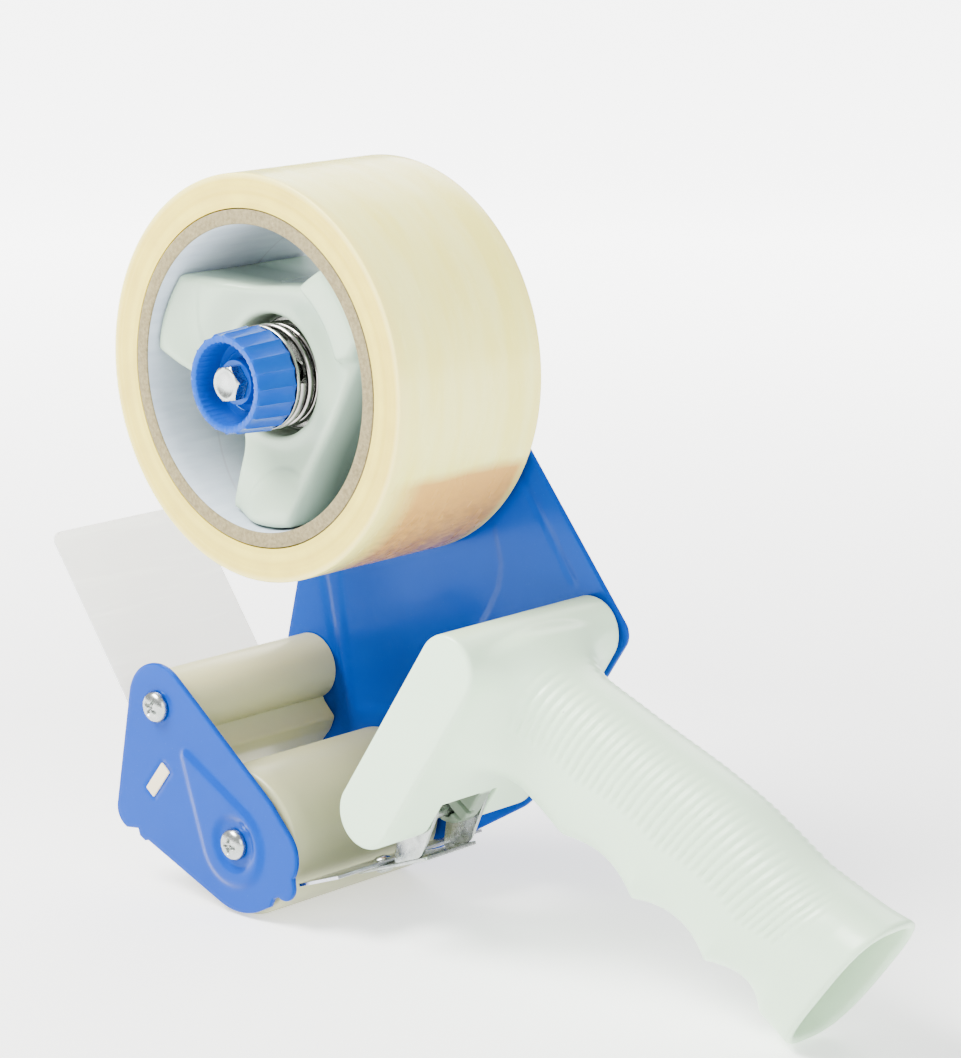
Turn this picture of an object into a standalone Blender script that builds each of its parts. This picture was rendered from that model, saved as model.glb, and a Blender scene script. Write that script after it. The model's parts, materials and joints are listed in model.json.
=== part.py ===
"""Hand-held tape gun for 50 mm packing tape, standing on its roller and the end of its grip.

The frame is two pressed side plates.  X runs from the flap at the front to the grip at the rear,
Y runs across the tape from the knob's side to the large plate, and Z is up.
"""

import math

import bmesh
import bpy
from mathutils import Matrix, Vector, geometry

MM = 0.001
GAP = 0.3 * MM
RUNNING_GAP = 0.05 * MM

# Frame: the shift puts the origin under the middle of the whole object.
X_SHIFT = -0.1 * MM
PLATE_INNER_Y = 27.2 * MM
PLATE_THICKNESS = 1.4 * MM
PLATE_OUTER_Y = PLATE_INNER_Y + PLATE_THICKNESS
BETWEEN_PLATES_Y = PLATE_INNER_Y - GAP
PLATE_ROLLER_RADIUS = 18.1 * MM
TAB_CENTRE = (-39.0 * MM, 11.5 * MM)
TAB_RADIUS = 3.9 * MM
CUT_MARGIN = 2 * MM

# Axes that lie along Y, as (x, z).
HUB_AXIS = (-51.4 * MM, 138.2 * MM)
ROLLER_AXIS = (-56.0 * MM, 19.05 * MM)
GUIDE_AXIS = (-84.4 * MM, 49.6 * MM)
PIN_AXIS = (-13.0 * MM, 30.0 * MM)

# Tape roll on its cardboard core.
TAPE_RADIUS = 50.6 * MM
TAPE_HALF_WIDTH = 25.0 * MM
CORE_OUTER_RADIUS = 41.8 * MM
CORE_INNER_RADIUS = 38.1 * MM
CORE_HALF_WIDTH = 25.2 * MM

# Hub, its post and the brake stack, from the far plate towards the knob.
HUB_PAD_RADIUS = 37.6 * MM
HUB_PAD_RADII = (29.5 * MM, 37.5 * MM)
HUB_NEAR_Y = -18.0 * MM
HUB_PAD_Y = -23.4 * MM
HUB_FAR_Y = 25.1 * MM
HUB_RECESS_RADIUS = 15.2 * MM
HUB_RECESS_FLOOR_Y = -9.0 * MM
HUB_BOSS_RADIUS = 15.6 * MM
HUB_POCKET_Y = -5.5 * MM
HUB_POCKET_SCALE = 0.86
POST_RADIUS = 5.9 * MM
POST_BORE_RADIUS = 2.5 * MM
POST_NEAR_Y = -8.0 * MM
POST_BORE_END_Y = 10.0 * MM
POST_FLANGE_RADIUS = 9.0 * MM
POST_FLANGE_THICKNESS = 1.2 * MM
NUT_RADIUS = 7.3 * MM
NUT_HEIGHT = 4.3 * MM
POST_STUB_RADIUS = 3.9 * MM
POST_STUB_END_Y = 34.2 * MM
BRAKE_WASHER_RADII = (9.6 * MM, 15.4 * MM)
SPRING_RADIUS = 12.2 * MM
SPRING_WIRE_RADIUS = 0.95 * MM
SPRING_TURNS = 3
SPRING_POINTS_PER_TURN = 12
SPRING_FAR_Y = -10.6 * MM
SPRING_NEAR_Y = -20.7 * MM

# Knob and bolt.
KNOB_FAR_Y = -22.1 * MM
KNOB_NEAR_Y = -34.2 * MM
KNOB_FAR_RADIUS = 13.2 * MM
KNOB_NEAR_RADIUS = 12.5 * MM
KNOB_ROUNDING = 0.6 * MM
KNOB_CUP_MOUTH_RADIUS = 11.0 * MM
KNOB_CUP_RADIUS = 10.6 * MM
KNOB_CUP_FLOOR_Y = -26.6 * MM
KNOB_BOSS_RADIUS = 5.7 * MM
KNOB_FLUTES = 20
KNOB_FLUTE_DEPTH = 0.5 * MM
BOLT_RADIUS = 2.42 * MM
BOLT_HEAD_ACROSS_FLATS = 8.2 * MM
BOLT_HEAD_NEAR_Y = -33.9 * MM
BOLT_HEAD_FAR_Y = -30.7 * MM
BOLT_END_Y = 5.0 * MM
WASHER_BORE_RADIUS = BOLT_RADIUS + 0.5 * MM
SEAT_RADIUS = 14.2 * MM
SEAT_THICKNESS = 1.0 * MM
THRUST_RADIUS = 13.0 * MM

# Roller.
ROLLER_RADIUS = 19.05 * MM
ROLLER_WALL = 2.7 * MM
ROLLER_HALF_WIDTH = 26.0 * MM
AXLE_RADIUS = 3.5 * MM
BUSH_INSET = 2.0 * MM
BUSH_WIDTH = 5.0 * MM

# Screws: the near and far screws of the guide and the axle, and the two of the handle.
SCREW_HEAD_RADIUS = 4.1 * MM
SCREW_HEAD_HEIGHT = 2.5 * MM
SCREW_SHANK_RADIUS = 1.95 * MM
SCREW_HOLE_RADIUS = SCREW_SHANK_RADIUS + GAP
SCREW_LENGTH = 12.0 * MM
SCREW_POINT_LENGTH = 1.5 * MM
SCREW_CROSS_SIZE = (4.6 * MM, 0.9 * MM)
SCREW_CROSS_DEPTH = 1.3 * MM
SCREW_CROSS_SLOPE = 20

# Handle: a block across the frame, leaning back, with the grip behind it.
BLOCK_CENTRE = (1.35 * MM, 56.2 * MM)
BLOCK_LEAN = math.radians(33.4)
BLOCK_HALF_LENGTH = 33.6 * MM
BLOCK_RADIUS = 8.7 * MM
BLOCK_ROUNDING = 1.2 * MM
NOTCH_TOP = -17.6 * MM
NOTCH_NEAR_Y = -10.5 * MM
NOTCH_FAR_Y = 9.5 * MM
TONGUE_NEAR_Y = 3.0 * MM
TONGUE_FAR_Y = 7.4 * MM
GRIP_WALL = 2.8 * MM
GRIP_ROOT_HALF_WIDTH = 15.0 * MM
GRIP_HALF_WIDTH = 13.2 * MM
GRIP_END_HALF_WIDTH = 13.6 * MM
GRIP_RINGS = 27
GRIP_SIDES = 20
FINGER_GROOVE_DEPTH = 2.9 * MM
FINGER_RIDGES = (0.285, 0.475, 0.665, 0.855)
GRIP_ROOT_SHARE = 0.2
GRIP_FLARE_START = 0.75
GRIP_END_DIRECTION = (0.797, 0.0, -0.605)
HOLLOW_START = 0.22
HOLLOW_RINGS = 10
SECTION_POWER = 2.4
FLARE_POWER = 0.4

# Blade and its bracket, both flat along a line that climbs towards the rear.
BLADE_EDGE = (-37.0 * MM, 11.6 * MM)
BLADE_SLOPE = math.radians(20.5)
BLADE_WIDTH = 16.0 * MM
BLADE_HALF_LENGTH = 26.0 * MM
BLADE_THICKNESS = 0.8 * MM
TOOTH_PITCH = 2.0 * MM
TOOTH_DEPTH = 1.3 * MM
RIVET_DISTANCE = 11.5 * MM
RIVET_RADIUS = 1.2 * MM
RIVET_PLACES = (("near", -6.0 * MM), ("far", 5.0 * MM))
BRACKET_START = 5.5 * MM
BRACKET_END = 31.0 * MM
BRACKET_THICKNESS = 1.0 * MM
EAR_NEAR_Y = -9.9 * MM
EAR_FAR_Y = 8.9 * MM
PIN_RADIUS = 1.5 * MM
PIN_NEAR_Y = -14.0 * MM
PIN_FAR_Y = 13.0 * MM
EAR_BORE_RADIUS = PIN_RADIUS + RUNNING_GAP

GUIDE_RADIUS = 8.8 * MM

# Clear flap: it rises forwards from a slot in the guide block.
FLAP_SLOT_BOTTOM = (-86.6 * MM, 28.6 * MM)
FLAP_TOP = (-129.2 * MM, 87.2 * MM)
FLAP_THICKNESS = 0.5 * MM
FLAP_HALF_WIDTH = 25.0 * MM
FLAP_CORNER_RADIUS = 3.0 * MM
FLAP_ROOT_LENGTH = 7.0 * MM
SLOT_DEPTH = 6.0 * MM

# Tenon at each end of the guide block, as centre, length along its slope, thickness.
TENON_CENTRE = (-84.7 * MM, 30.0 * MM)
TENON_SLOPE = math.radians(51.9)
TENON_SIZE = (10.0 * MM, 3.5 * MM)
TENON_PROUD = 0.4 * MM

ROUND_STEPS = 48
SMALL_STEPS = 16

BLUE_PAINT = ("blue_paint", (0.028, 0.165, 0.70), 0.22, 0.0)
BLUE_PLASTIC = ("blue_plastic", (0.004, 0.20, 0.87), 0.30, 0.0)
PALE_PLASTIC = ("pale_plastic", (0.70, 0.76, 0.68), 0.35, 0.0)
ROLLER_PLASTIC = ("roller_plastic", (0.57, 0.56, 0.47), 0.42, 0.0)
ZINC = ("zinc", (0.62, 0.64, 0.66), 0.28, 1.0)
SPRING_STEEL = ("spring_steel", (0.55, 0.55, 0.56), 0.18, 1.0)
TAPE = ("tape", (0.86, 0.78, 0.50), 0.25, 0.0)
CARDBOARD = ("cardboard", (0.46, 0.41, 0.33), 0.85, 0.0)
CLEAR_FILM = ("clear_film", (0.92, 0.93, 0.94), 0.15, 0.0)
FELT = ("felt", (0.08, 0.08, 0.08), 0.9, 0.0)

PIVOTS = {
    "frame": (0.0, 0.0, 0.0),
    "tape_reel": (HUB_AXIS[0], 0.0, HUB_AXIS[1]),
    "tension_slide": (HUB_AXIS[0], 0.0, HUB_AXIS[1]),
    "tension_knob": (HUB_AXIS[0], 0.0, HUB_AXIS[1]),
    "roller": (ROLLER_AXIS[0], 0.0, ROLLER_AXIS[1]),
    "blade_lever": (PIN_AXIS[0], 0.0, PIN_AXIS[1]),
}


# ---------------------------------------------------------------- scene and helpers

def clear_scene():
    for obj in list(bpy.data.objects):
        bpy.data.objects.remove(obj, do_unlink=True)


def new_collection(name):
    collection = bpy.data.collections.new(name)
    bpy.context.scene.collection.children.link(collection)
    return collection


def add_empty(name, location, parent=None):
    empty = bpy.data.objects.new(name, None)
    empty.empty_display_size = 0.01
    empty.location = location
    empty.parent = parent
    PARTS.objects.link(empty)
    return empty


def new_material(node_name, look):
    label, colour, roughness, metallic = look
    material = bpy.data.materials.new(node_name + "_" + label)
    material.use_nodes = True
    shader = material.node_tree.nodes["Principled BSDF"]
    shader.inputs["Base Color"].default_value = (*colour, 1.0)
    shader.inputs["Roughness"].default_value = roughness
    shader.inputs["Metallic"].default_value = metallic
    return material


def add_part(name, mesh, look, body="frame", smooth=False):
    """Put a mesh drawn in the frame's coordinates on its body, with its origin on the joint."""
    mesh.name = name
    mesh.transform(Matrix.Translation(-Vector(PIVOTS[body])))
    mesh.materials.clear()
    mesh.materials.append(new_material(name, look))
    if smooth:
        mesh.shade_smooth()
        mesh.set_sharp_from_angle(angle=math.radians(35))
    obj = bpy.data.objects.new(name, mesh)
    obj.parent = EMPTIES[body]
    PARTS.objects.link(obj)
    return obj


def add_cutter(name, mesh):
    """A form that cuts or joins a part, kept out of the model itself."""
    obj = bpy.data.objects.new("form_" + name, mesh)
    obj.parent = EMPTIES["frame"]
    obj.hide_render = True
    obj.display_type = "WIRE"
    FORMS.objects.link(obj)
    return obj


def combine(obj, form, operation):
    modifier = obj.modifiers.new(operation.lower() + "_" + form.name, "BOOLEAN")
    modifier.operation = operation
    modifier.solver = "EXACT"
    modifier.object = form


def evaluated_mesh(obj, weld=0.0):
    """The mesh that an object's curve or modifiers make, as a closed skin facing out."""
    bpy.context.scene.collection.objects.link(obj)
    depsgraph = bpy.context.evaluated_depsgraph_get()
    mesh = bpy.data.meshes.new_from_object(obj.evaluated_get(depsgraph))
    mesh.transform(obj.matrix_world)
    bm = bmesh.new()
    bm.from_mesh(mesh)
    bmesh.ops.remove_doubles(bm, verts=bm.verts, dist=weld or 1e-6)
    bmesh.ops.recalc_face_normals(bm, faces=bm.faces)
    bm.to_mesh(mesh)
    bm.free()
    bpy.data.objects.remove(obj, do_unlink=True)
    return mesh


def turned(profile, axis, closed=False, steps=ROUND_STEPS):
    """Turn a profile of (radius, y) points about the line along Y through axis (x, z)."""
    mesh = bpy.data.meshes.new("profile")
    points = [(radius, y, 0.0) for radius, y in profile]
    edges = [(i, i + 1) for i in range(len(points) - 1)]
    if closed:
        edges.append((len(points) - 1, 0))
    mesh.from_pydata(points, edges, [])
    obj = bpy.data.objects.new("profile", mesh)
    obj.location = (axis[0], 0.0, axis[1])
    screw = obj.modifiers.new("turn", "SCREW")
    screw.axis = "Y"
    screw.steps = steps
    screw.render_steps = steps
    screw.use_merge_vertices = True
    screw.merge_threshold = 0.00001
    bpy.context.view_layer.update()
    obj.matrix_world = Matrix.Translation(obj.location)
    return evaluated_mesh(obj)


def cylinder(axis, radius, y_low, y_high, steps=SMALL_STEPS):
    return turned([(0.0, y_high), (radius, y_high), (radius, y_low), (0.0, y_low)], axis, steps=steps)


def ring(axis, radii, y_low, y_high, steps=ROUND_STEPS):
    inner, outer = radii
    profile = [(inner, y_high), (outer, y_high), (outer, y_low), (inner, y_low)]
    return turned(profile, axis, closed=True, steps=steps)


def sheet(outline, matrix, thickness):
    """A flat solid: the outline lies in the matrix's XY plane and is thickened both ways."""
    curve = bpy.data.curves.new("outline", "CURVE")
    curve.dimensions = "2D"
    curve.fill_mode = "BOTH"
    curve.extrude = thickness / 2
    spline = curve.splines.new("POLY")
    spline.points.add(len(outline) - 1)
    for point, (u, v) in zip(spline.points, outline):
        point.co = (u, v, 0.0, 1.0)
    spline.use_cyclic_u = True
    obj = bpy.data.objects.new("outline", curve)
    obj.matrix_world = matrix
    return evaluated_mesh(obj)


def slab(outline, y_low, y_high):
    """A flat solid with its outline in X and Z, from y_low to y_high."""
    upright = Matrix.Translation((0.0, (y_low + y_high) / 2, 0.0)) @ Matrix.Rotation(math.pi / 2, 4, "X")
    return sheet(outline, upright, y_high - y_low)


def belt(circles, steps=40):
    """The outline of a belt stretched round circles given as (x, z, radius)."""
    points = []
    for x, z, radius in circles:
        for i in range(steps):
            angle = 2 * math.pi * i / steps
            points.append(Vector((x + radius * math.cos(angle), z + radius * math.sin(angle))))
    return [tuple(points[i]) for i in geometry.convex_hull_2d(points)]


def arc(centre, radius, start, end, steps):
    """Points of an arc, in degrees from start to end."""
    angles = [math.radians(start + (end - start) * i / steps) for i in range(steps + 1)]
    return [(centre[0] + radius * math.cos(a), centre[1] + radius * math.sin(a)) for a in angles]


def turned_box(centre, size, slope):
    """The four corners of a rectangle of (length, height) that slopes by an angle."""
    along = Vector((math.cos(slope), math.sin(slope))) * size[0] / 2
    across = Vector((-math.sin(slope), math.cos(slope))) * size[1] / 2
    middle = Vector(centre)
    low_side, high_side = middle - across, middle + across
    corners = (low_side - along, low_side + along, high_side + along, high_side - along)
    return [tuple(corner) for corner in corners]


def wire(points, radius):
    """A round wire through the points."""
    curve = bpy.data.curves.new("wire", "CURVE")
    curve.dimensions = "3D"
    curve.bevel_depth = radius
    curve.bevel_resolution = 2
    curve.use_fill_caps = True
    curve.resolution_u = 1
    spline = curve.splines.new("POLY")
    spline.points.add(len(points) - 1)
    for point, (x, y, z) in zip(spline.points, points):
        point.co = (x, y, z, 1.0)
    obj = bpy.data.objects.new("wire", curve)
    return evaluated_mesh(obj)


def block_point(along, across):
    """A point of the handle's block, as distances along its lean and towards its rear."""
    x = BLOCK_CENTRE[0] + along * math.sin(BLOCK_LEAN) + across * math.cos(BLOCK_LEAN)
    z = BLOCK_CENTRE[1] + along * math.cos(BLOCK_LEAN) - across * math.sin(BLOCK_LEAN)
    return (x, z)


# ---------------------------------------------------------------- side plates

def front_circles():
    """The circles that the front of both plates is stretched round."""
    return [
        (GUIDE_AXIS[0], GUIDE_AXIS[1], 11.2 * MM),
        (ROLLER_AXIS[0], ROLLER_AXIS[1], PLATE_ROLLER_RADIUS),
        (-43.0 * MM, 19.0 * MM, 8.8 * MM),
        (-95.8 * MM, 19.5 * MM, 5.4 * MM),
    ]


def rear_circles():
    """The circles that the large plate is stretched round behind and above the front ones."""
    return [
        (HUB_AXIS[0], HUB_AXIS[1], 22.2 * MM),
        (20.3 * MM, 76.8 * MM, 5.0 * MM),
        (-16.8 * MM, 37.5 * MM, 14.0 * MM),
    ]


def blade_bay():
    """The hollow in the large plate's lower edge, behind the roller, that clears the blade."""
    outline = [(-49.6 * MM, -2.0 * MM)] + arc(ROLLER_AXIS, PLATE_ROLLER_RADIUS, -62, -46, 3)
    outline.append((-42.6 * MM, 7.9 * MM))
    outline += arc(TAB_CENTRE, TAB_RADIUS, -110, -10, 5)
    outline += [(x * MM, z * MM) for x, z in ((-34.2, 17.1), (-32.6, 18.9), (-23.0, 20.9), (-13.0, 23.2))]
    outline += [(x * MM, z * MM) for x, z in ((5.0, 25.0), (5.0, -8.0), (-45.0, -8.0))]
    return outline


def tab_outline():
    """The small guard tab below the small plate's rear corner, beside the blade's edge."""
    return belt([(*TAB_CENTRE, TAB_RADIUS), (-40.0 * MM, 16.0 * MM, 4.5 * MM)], SMALL_STEPS)


def cut_plate_holes(plate, y_low, y_high):
    low, high = y_low - CUT_MARGIN, y_high + CUT_MARGIN
    for label, axis in (("guide", GUIDE_AXIS), ("axle", ROLLER_AXIS)):
        hole = cylinder(axis, SCREW_HOLE_RADIUS, low, high)
        combine(plate, add_cutter(plate.name + "_" + label, hole), "DIFFERENCE")
    size = (TENON_SIZE[0] + 2 * GAP, TENON_SIZE[1] + 2 * GAP)
    slot = slab(turned_box(TENON_CENTRE, size, TENON_SLOPE), low, high)
    combine(plate, add_cutter(plate.name + "_tenon", slot), "DIFFERENCE")


def build_small_plate():
    y_low, y_high = -PLATE_OUTER_Y, -PLATE_INNER_Y
    plate = add_part("side_plate_small", slab(belt(front_circles()), y_low, y_high), BLUE_PAINT)
    combine(plate, add_cutter("small_tab", slab(tab_outline(), y_low, y_high)), "UNION")
    cut_plate_holes(plate, y_low, y_high)


def build_large_plate():
    y_low, y_high = PLATE_INNER_Y, PLATE_OUTER_Y
    low, high = y_low - CUT_MARGIN, y_high + CUT_MARGIN
    outline = belt(front_circles() + rear_circles())
    plate = add_part("side_plate_large", slab(outline, y_low, y_high), BLUE_PAINT)
    bay = slab(blade_bay(), low, high)
    combine(plate, add_cutter("large_bay", bay), "DIFFERENCE")
    cut_plate_holes(plate, y_low, y_high)
    for label, along in handle_screw_places():
        hole = cylinder(block_point(along, 0.0), SCREW_HOLE_RADIUS, low, high)
        combine(plate, add_cutter("plate_handle_" + label, hole), "DIFFERENCE")
    hole = cylinder(HUB_AXIS, POST_STUB_RADIUS + GAP, low, high)
    combine(plate, add_cutter("plate_post", hole), "DIFFERENCE")


# ---------------------------------------------------------------- screws

def add_screw(name, axis, side):
    """A pan-head cross screw; side is -1 on the near plate and 1 on the far plate."""
    seat = PLATE_OUTER_Y + GAP
    dome = [
        (0.0, seat + SCREW_HEAD_HEIGHT),
        (0.45 * SCREW_HEAD_RADIUS, seat + 0.96 * SCREW_HEAD_HEIGHT),
        (0.8 * SCREW_HEAD_RADIUS, seat + 0.75 * SCREW_HEAD_HEIGHT),
        (SCREW_HEAD_RADIUS, seat + 0.25 * SCREW_HEAD_HEIGHT),
        (SCREW_HEAD_RADIUS, seat),
        (SCREW_SHANK_RADIUS, seat),
        (SCREW_SHANK_RADIUS, PLATE_INNER_Y - SCREW_LENGTH + SCREW_POINT_LENGTH),
        (0.0, PLATE_INNER_Y - SCREW_LENGTH),
    ]
    profile = [(radius, side * y) for radius, y in dome]
    screw = add_part(name, turned(profile, axis, steps=SMALL_STEPS), ZINC, smooth=True)
    low = side * (seat + SCREW_HEAD_HEIGHT - SCREW_CROSS_DEPTH)
    high = side * (seat + SCREW_HEAD_HEIGHT + CUT_MARGIN)
    for label, slope in (("a", SCREW_CROSS_SLOPE), ("b", SCREW_CROSS_SLOPE + 90)):
        outline = turned_box(axis, SCREW_CROSS_SIZE, math.radians(slope))
        cross = slab(outline, min(low, high), max(low, high))
        combine(screw, add_cutter(name + "_cross_" + label, cross), "DIFFERENCE")


def handle_screw_places():
    """How far up the block's lean each screw sits."""
    return (("upper", 20.0 * MM), ("lower", -13.0 * MM))


def build_screws():
    for label, side in (("near", -1), ("far", 1)):
        add_screw("guide_screw_" + label, GUIDE_AXIS, side)
        add_screw("axle_screw_" + label, ROLLER_AXIS, side)
    for label, along in handle_screw_places():
        add_screw("handle_screw_" + label, block_point(along, 0.0), 1)


def cut_screw_hole(part, axis, side):
    """The blind hole that a screw goes into, inside the plate."""
    deep = PLATE_INNER_Y - SCREW_LENGTH - GAP
    low, high = sorted((side * deep, side * (PLATE_INNER_Y + CUT_MARGIN)))
    hole = cylinder(axis, SCREW_HOLE_RADIUS, low, high)
    form = add_cutter(part.name + "_hole_" + str(len(FORMS.objects)), hole)
    combine(part, form, "DIFFERENCE")


# ---------------------------------------------------------------- guide block and flap

def flap_direction():
    """Unit vector up the flap, in X and Z."""
    return (Vector(FLAP_TOP) - Vector(FLAP_SLOT_BOTTOM)).normalized()


def flap_point(distance):
    """A point on the flap's line, at a distance from the bottom of its slot."""
    return tuple(Vector(FLAP_SLOT_BOTTOM) + distance * flap_direction())


def flap_slope():
    direction = flap_direction()
    return math.atan2(direction.y, direction.x)


def build_guide_block():
    low, high = -BETWEEN_PLATES_Y, BETWEEN_PLATES_Y
    roll = cylinder(GUIDE_AXIS, GUIDE_RADIUS, low, high, steps=ROUND_STEPS)
    guide = add_part("guide_block", roll, ROLLER_PLASTIC, smooth=True)
    web = [
        (-81.0, 44.5), (-79.8, 40.2), (-76.1, 36.9), (-77.6, 33.4), (-84.5, 25.0),
        (-88.4, 24.6), (-92.8, 29.9), (-88.0, 36.8), (-88.4, 43.5),
    ]
    combine(guide, add_cutter("guide_web", slab([(x * MM, z * MM) for x, z in web], low, high)), "UNION")
    for label, side in (("near", -1), ("far", 1)):
        inside = side * (BETWEEN_PLATES_Y - CUT_MARGIN)
        outside = side * (PLATE_OUTER_Y + TENON_PROUD)
        section = turned_box(TENON_CENTRE, TENON_SIZE, TENON_SLOPE)
        tenon = slab(section, min(inside, outside), max(inside, outside))
        combine(guide, add_cutter("guide_tenon_" + label, tenon), "UNION")
        cut_screw_hole(guide, GUIDE_AXIS, side)
    middle = flap_point(SLOT_DEPTH)
    outline = turned_box(middle, (2 * SLOT_DEPTH, FLAP_THICKNESS + 2 * GAP), flap_slope())
    slot = slab(outline, -FLAP_HALF_WIDTH - GAP, FLAP_HALF_WIDTH + GAP)
    combine(guide, add_cutter("guide_slot", slot), "DIFFERENCE")


def flap_sheet(start, end, corner):
    """A strip of the flap between two distances up its line, with rounded top corners."""
    half = FLAP_HALF_WIDTH
    outline = [(start, -half), (end - corner, -half)]
    if corner:
        outline += arc((end - corner, -half + corner), corner, -90, 0, 6)[1:]
        outline += arc((end - corner, half - corner), corner, 0, 90, 6)
    else:
        outline.append((end, half))
    outline.append((start, half))
    up = flap_direction()
    along = Vector((up.x, 0.0, up.y))
    across = Vector((0.0, 1.0, 0.0))
    matrix = Matrix((along, across, along.cross(across))).transposed().to_4x4()
    matrix.translation = (FLAP_SLOT_BOTTOM[0], 0.0, FLAP_SLOT_BOTTOM[1])
    return sheet(outline, matrix, FLAP_THICKNESS)


def build_flap():
    length = (Vector(FLAP_TOP) - Vector(FLAP_SLOT_BOTTOM)).length
    add_part("flap_root", flap_sheet(GAP, FLAP_ROOT_LENGTH, 0.0), CLEAR_FILM)
    free = flap_sheet(FLAP_ROOT_LENGTH + GAP, length, FLAP_CORNER_RADIUS)
    add_part("clear_flap", free, CLEAR_FILM, body="flap")


# ---------------------------------------------------------------- roller

def build_roller():
    low, high = -ROLLER_HALF_WIDTH, ROLLER_HALF_WIDTH
    inner = ROLLER_RADIUS - ROLLER_WALL
    sleeve = ring(ROLLER_AXIS, (inner, ROLLER_RADIUS), low, high)
    add_part("roller_sleeve", sleeve, ROLLER_PLASTIC, body="roller", smooth=True)
    radii = (AXLE_RADIUS + RUNNING_GAP, inner - GAP)
    for label, side in (("near", -1), ("far", 1)):
        outside = side * (ROLLER_HALF_WIDTH - BUSH_INSET)
        inside = outside - side * BUSH_WIDTH
        bush = ring(ROLLER_AXIS, radii, min(inside, outside), max(inside, outside), steps=ROUND_STEPS)
        add_part("roller_bush_" + label, bush, ROLLER_PLASTIC, body="roller", smooth=True)
    rod = cylinder(ROLLER_AXIS, AXLE_RADIUS, -BETWEEN_PLATES_Y, BETWEEN_PLATES_Y, steps=ROUND_STEPS)
    axle = add_part("roller_axle", rod, ZINC, smooth=True)
    for side in (-1, 1):
        cut_screw_hole(axle, ROLLER_AXIS, side)


# ---------------------------------------------------------------- tape, hub and brake

def hub_outline(scale=1.0):
    """The hub seen along its axis: three arms with curved end pads and straight webs between."""
    middle = (0.0, 0.0)
    reach = HUB_PAD_RADIUS / MM
    points = arc(middle, reach, 21, 52, 8) + [(18.3, 26.6), (12.6, 23.4), (-6.0, 21.6)]
    points += arc(middle, reach, 144, 175, 8) + [(-27.1, -1.8), (-14.5, -8.5), (-9.5, -14.5), (-13.2, -30.6)]
    points += arc(middle, reach, 250, 283, 8) + [(12.7, -24.6), (15.5, -18.6)]
    return [(HUB_AXIS[0] + scale * x * MM, HUB_AXIS[1] + scale * z * MM) for x, z in points]


def build_hub():
    hub = add_part("tape_hub", slab(hub_outline(), HUB_NEAR_Y, HUB_FAR_Y), PALE_PLASTIC, body="tape_reel")
    for label, start, end in (("rear", 21, 50), ("front", 146, 175), ("lower", 251, 282)):
        outline = arc(HUB_AXIS, HUB_PAD_RADII[1], start, end, 8)
        outline += arc(HUB_AXIS, HUB_PAD_RADII[0], end - 4, start + 4, 6)
        pad = slab(outline, HUB_PAD_Y, HUB_NEAR_Y + CUT_MARGIN)
        combine(hub, add_cutter("hub_pad_" + label, pad), "UNION")
    pocket_end = HUB_FAR_Y + CUT_MARGIN
    pocket = add_cutter("hub_pocket", slab(hub_outline(HUB_POCKET_SCALE), HUB_POCKET_Y, pocket_end))
    boss_start = HUB_POCKET_Y - CUT_MARGIN
    boss = cylinder(HUB_AXIS, HUB_BOSS_RADIUS, boss_start, pocket_end + CUT_MARGIN, ROUND_STEPS)
    boss = add_cutter("hub_boss", boss)
    combine(pocket, boss, "DIFFERENCE")
    combine(hub, pocket, "DIFFERENCE")
    recess = cylinder(HUB_AXIS, HUB_RECESS_RADIUS, HUB_PAD_Y - CUT_MARGIN, HUB_RECESS_FLOOR_Y, ROUND_STEPS)
    combine(hub, add_cutter("hub_recess", recess), "DIFFERENCE")
    bore_radius = POST_RADIUS + RUNNING_GAP
    bore_start = HUB_RECESS_FLOOR_Y - CUT_MARGIN
    bore = cylinder(HUB_AXIS, bore_radius, bore_start, pocket_end, ROUND_STEPS)
    combine(hub, add_cutter("hub_bore", bore), "DIFFERENCE")


def build_tape():
    core = ring(HUB_AXIS, (CORE_INNER_RADIUS, CORE_OUTER_RADIUS), -CORE_HALF_WIDTH, CORE_HALF_WIDTH)
    add_part("tape_core", core, CARDBOARD, body="tape_reel", smooth=True)
    roll = ring(HUB_AXIS, (CORE_OUTER_RADIUS + GAP, TAPE_RADIUS), -TAPE_HALF_WIDTH, TAPE_HALF_WIDTH)
    add_part("tape_roll", roll, TAPE, body="tape_reel", smooth=True)


def build_post():
    far = BETWEEN_PLATES_Y
    flange = far - POST_FLANGE_THICKNESS
    profile = [
        (0.0, POST_BORE_END_Y), (POST_BORE_RADIUS, POST_BORE_END_Y),
        (POST_BORE_RADIUS, POST_NEAR_Y), (POST_RADIUS, POST_NEAR_Y),
        (POST_RADIUS, flange), (POST_FLANGE_RADIUS, flange), (POST_FLANGE_RADIUS, far),
        (POST_STUB_RADIUS, far), (POST_STUB_RADIUS, POST_STUB_END_Y), (0.0, POST_STUB_END_Y),
    ]
    add_part("hub_post", turned(profile, HUB_AXIS, steps=ROUND_STEPS), ZINC, smooth=True)
    low, high = PLATE_OUTER_Y + GAP, PLATE_OUTER_Y + GAP + NUT_HEIGHT
    nut = add_part("post_nut", slab(arc(HUB_AXIS, NUT_RADIUS, 0, 300, 5), low, high), ZINC)
    hole = cylinder(HUB_AXIS, POST_STUB_RADIUS + GAP, low - CUT_MARGIN, high + CUT_MARGIN)
    combine(nut, add_cutter("nut_hole", hole), "DIFFERENCE")
    washer = ring(HUB_AXIS, BRAKE_WASHER_RADII, HUB_FAR_Y + GAP, BETWEEN_PLATES_Y)
    add_part("brake_washer", washer, FELT, smooth=True)


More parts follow.
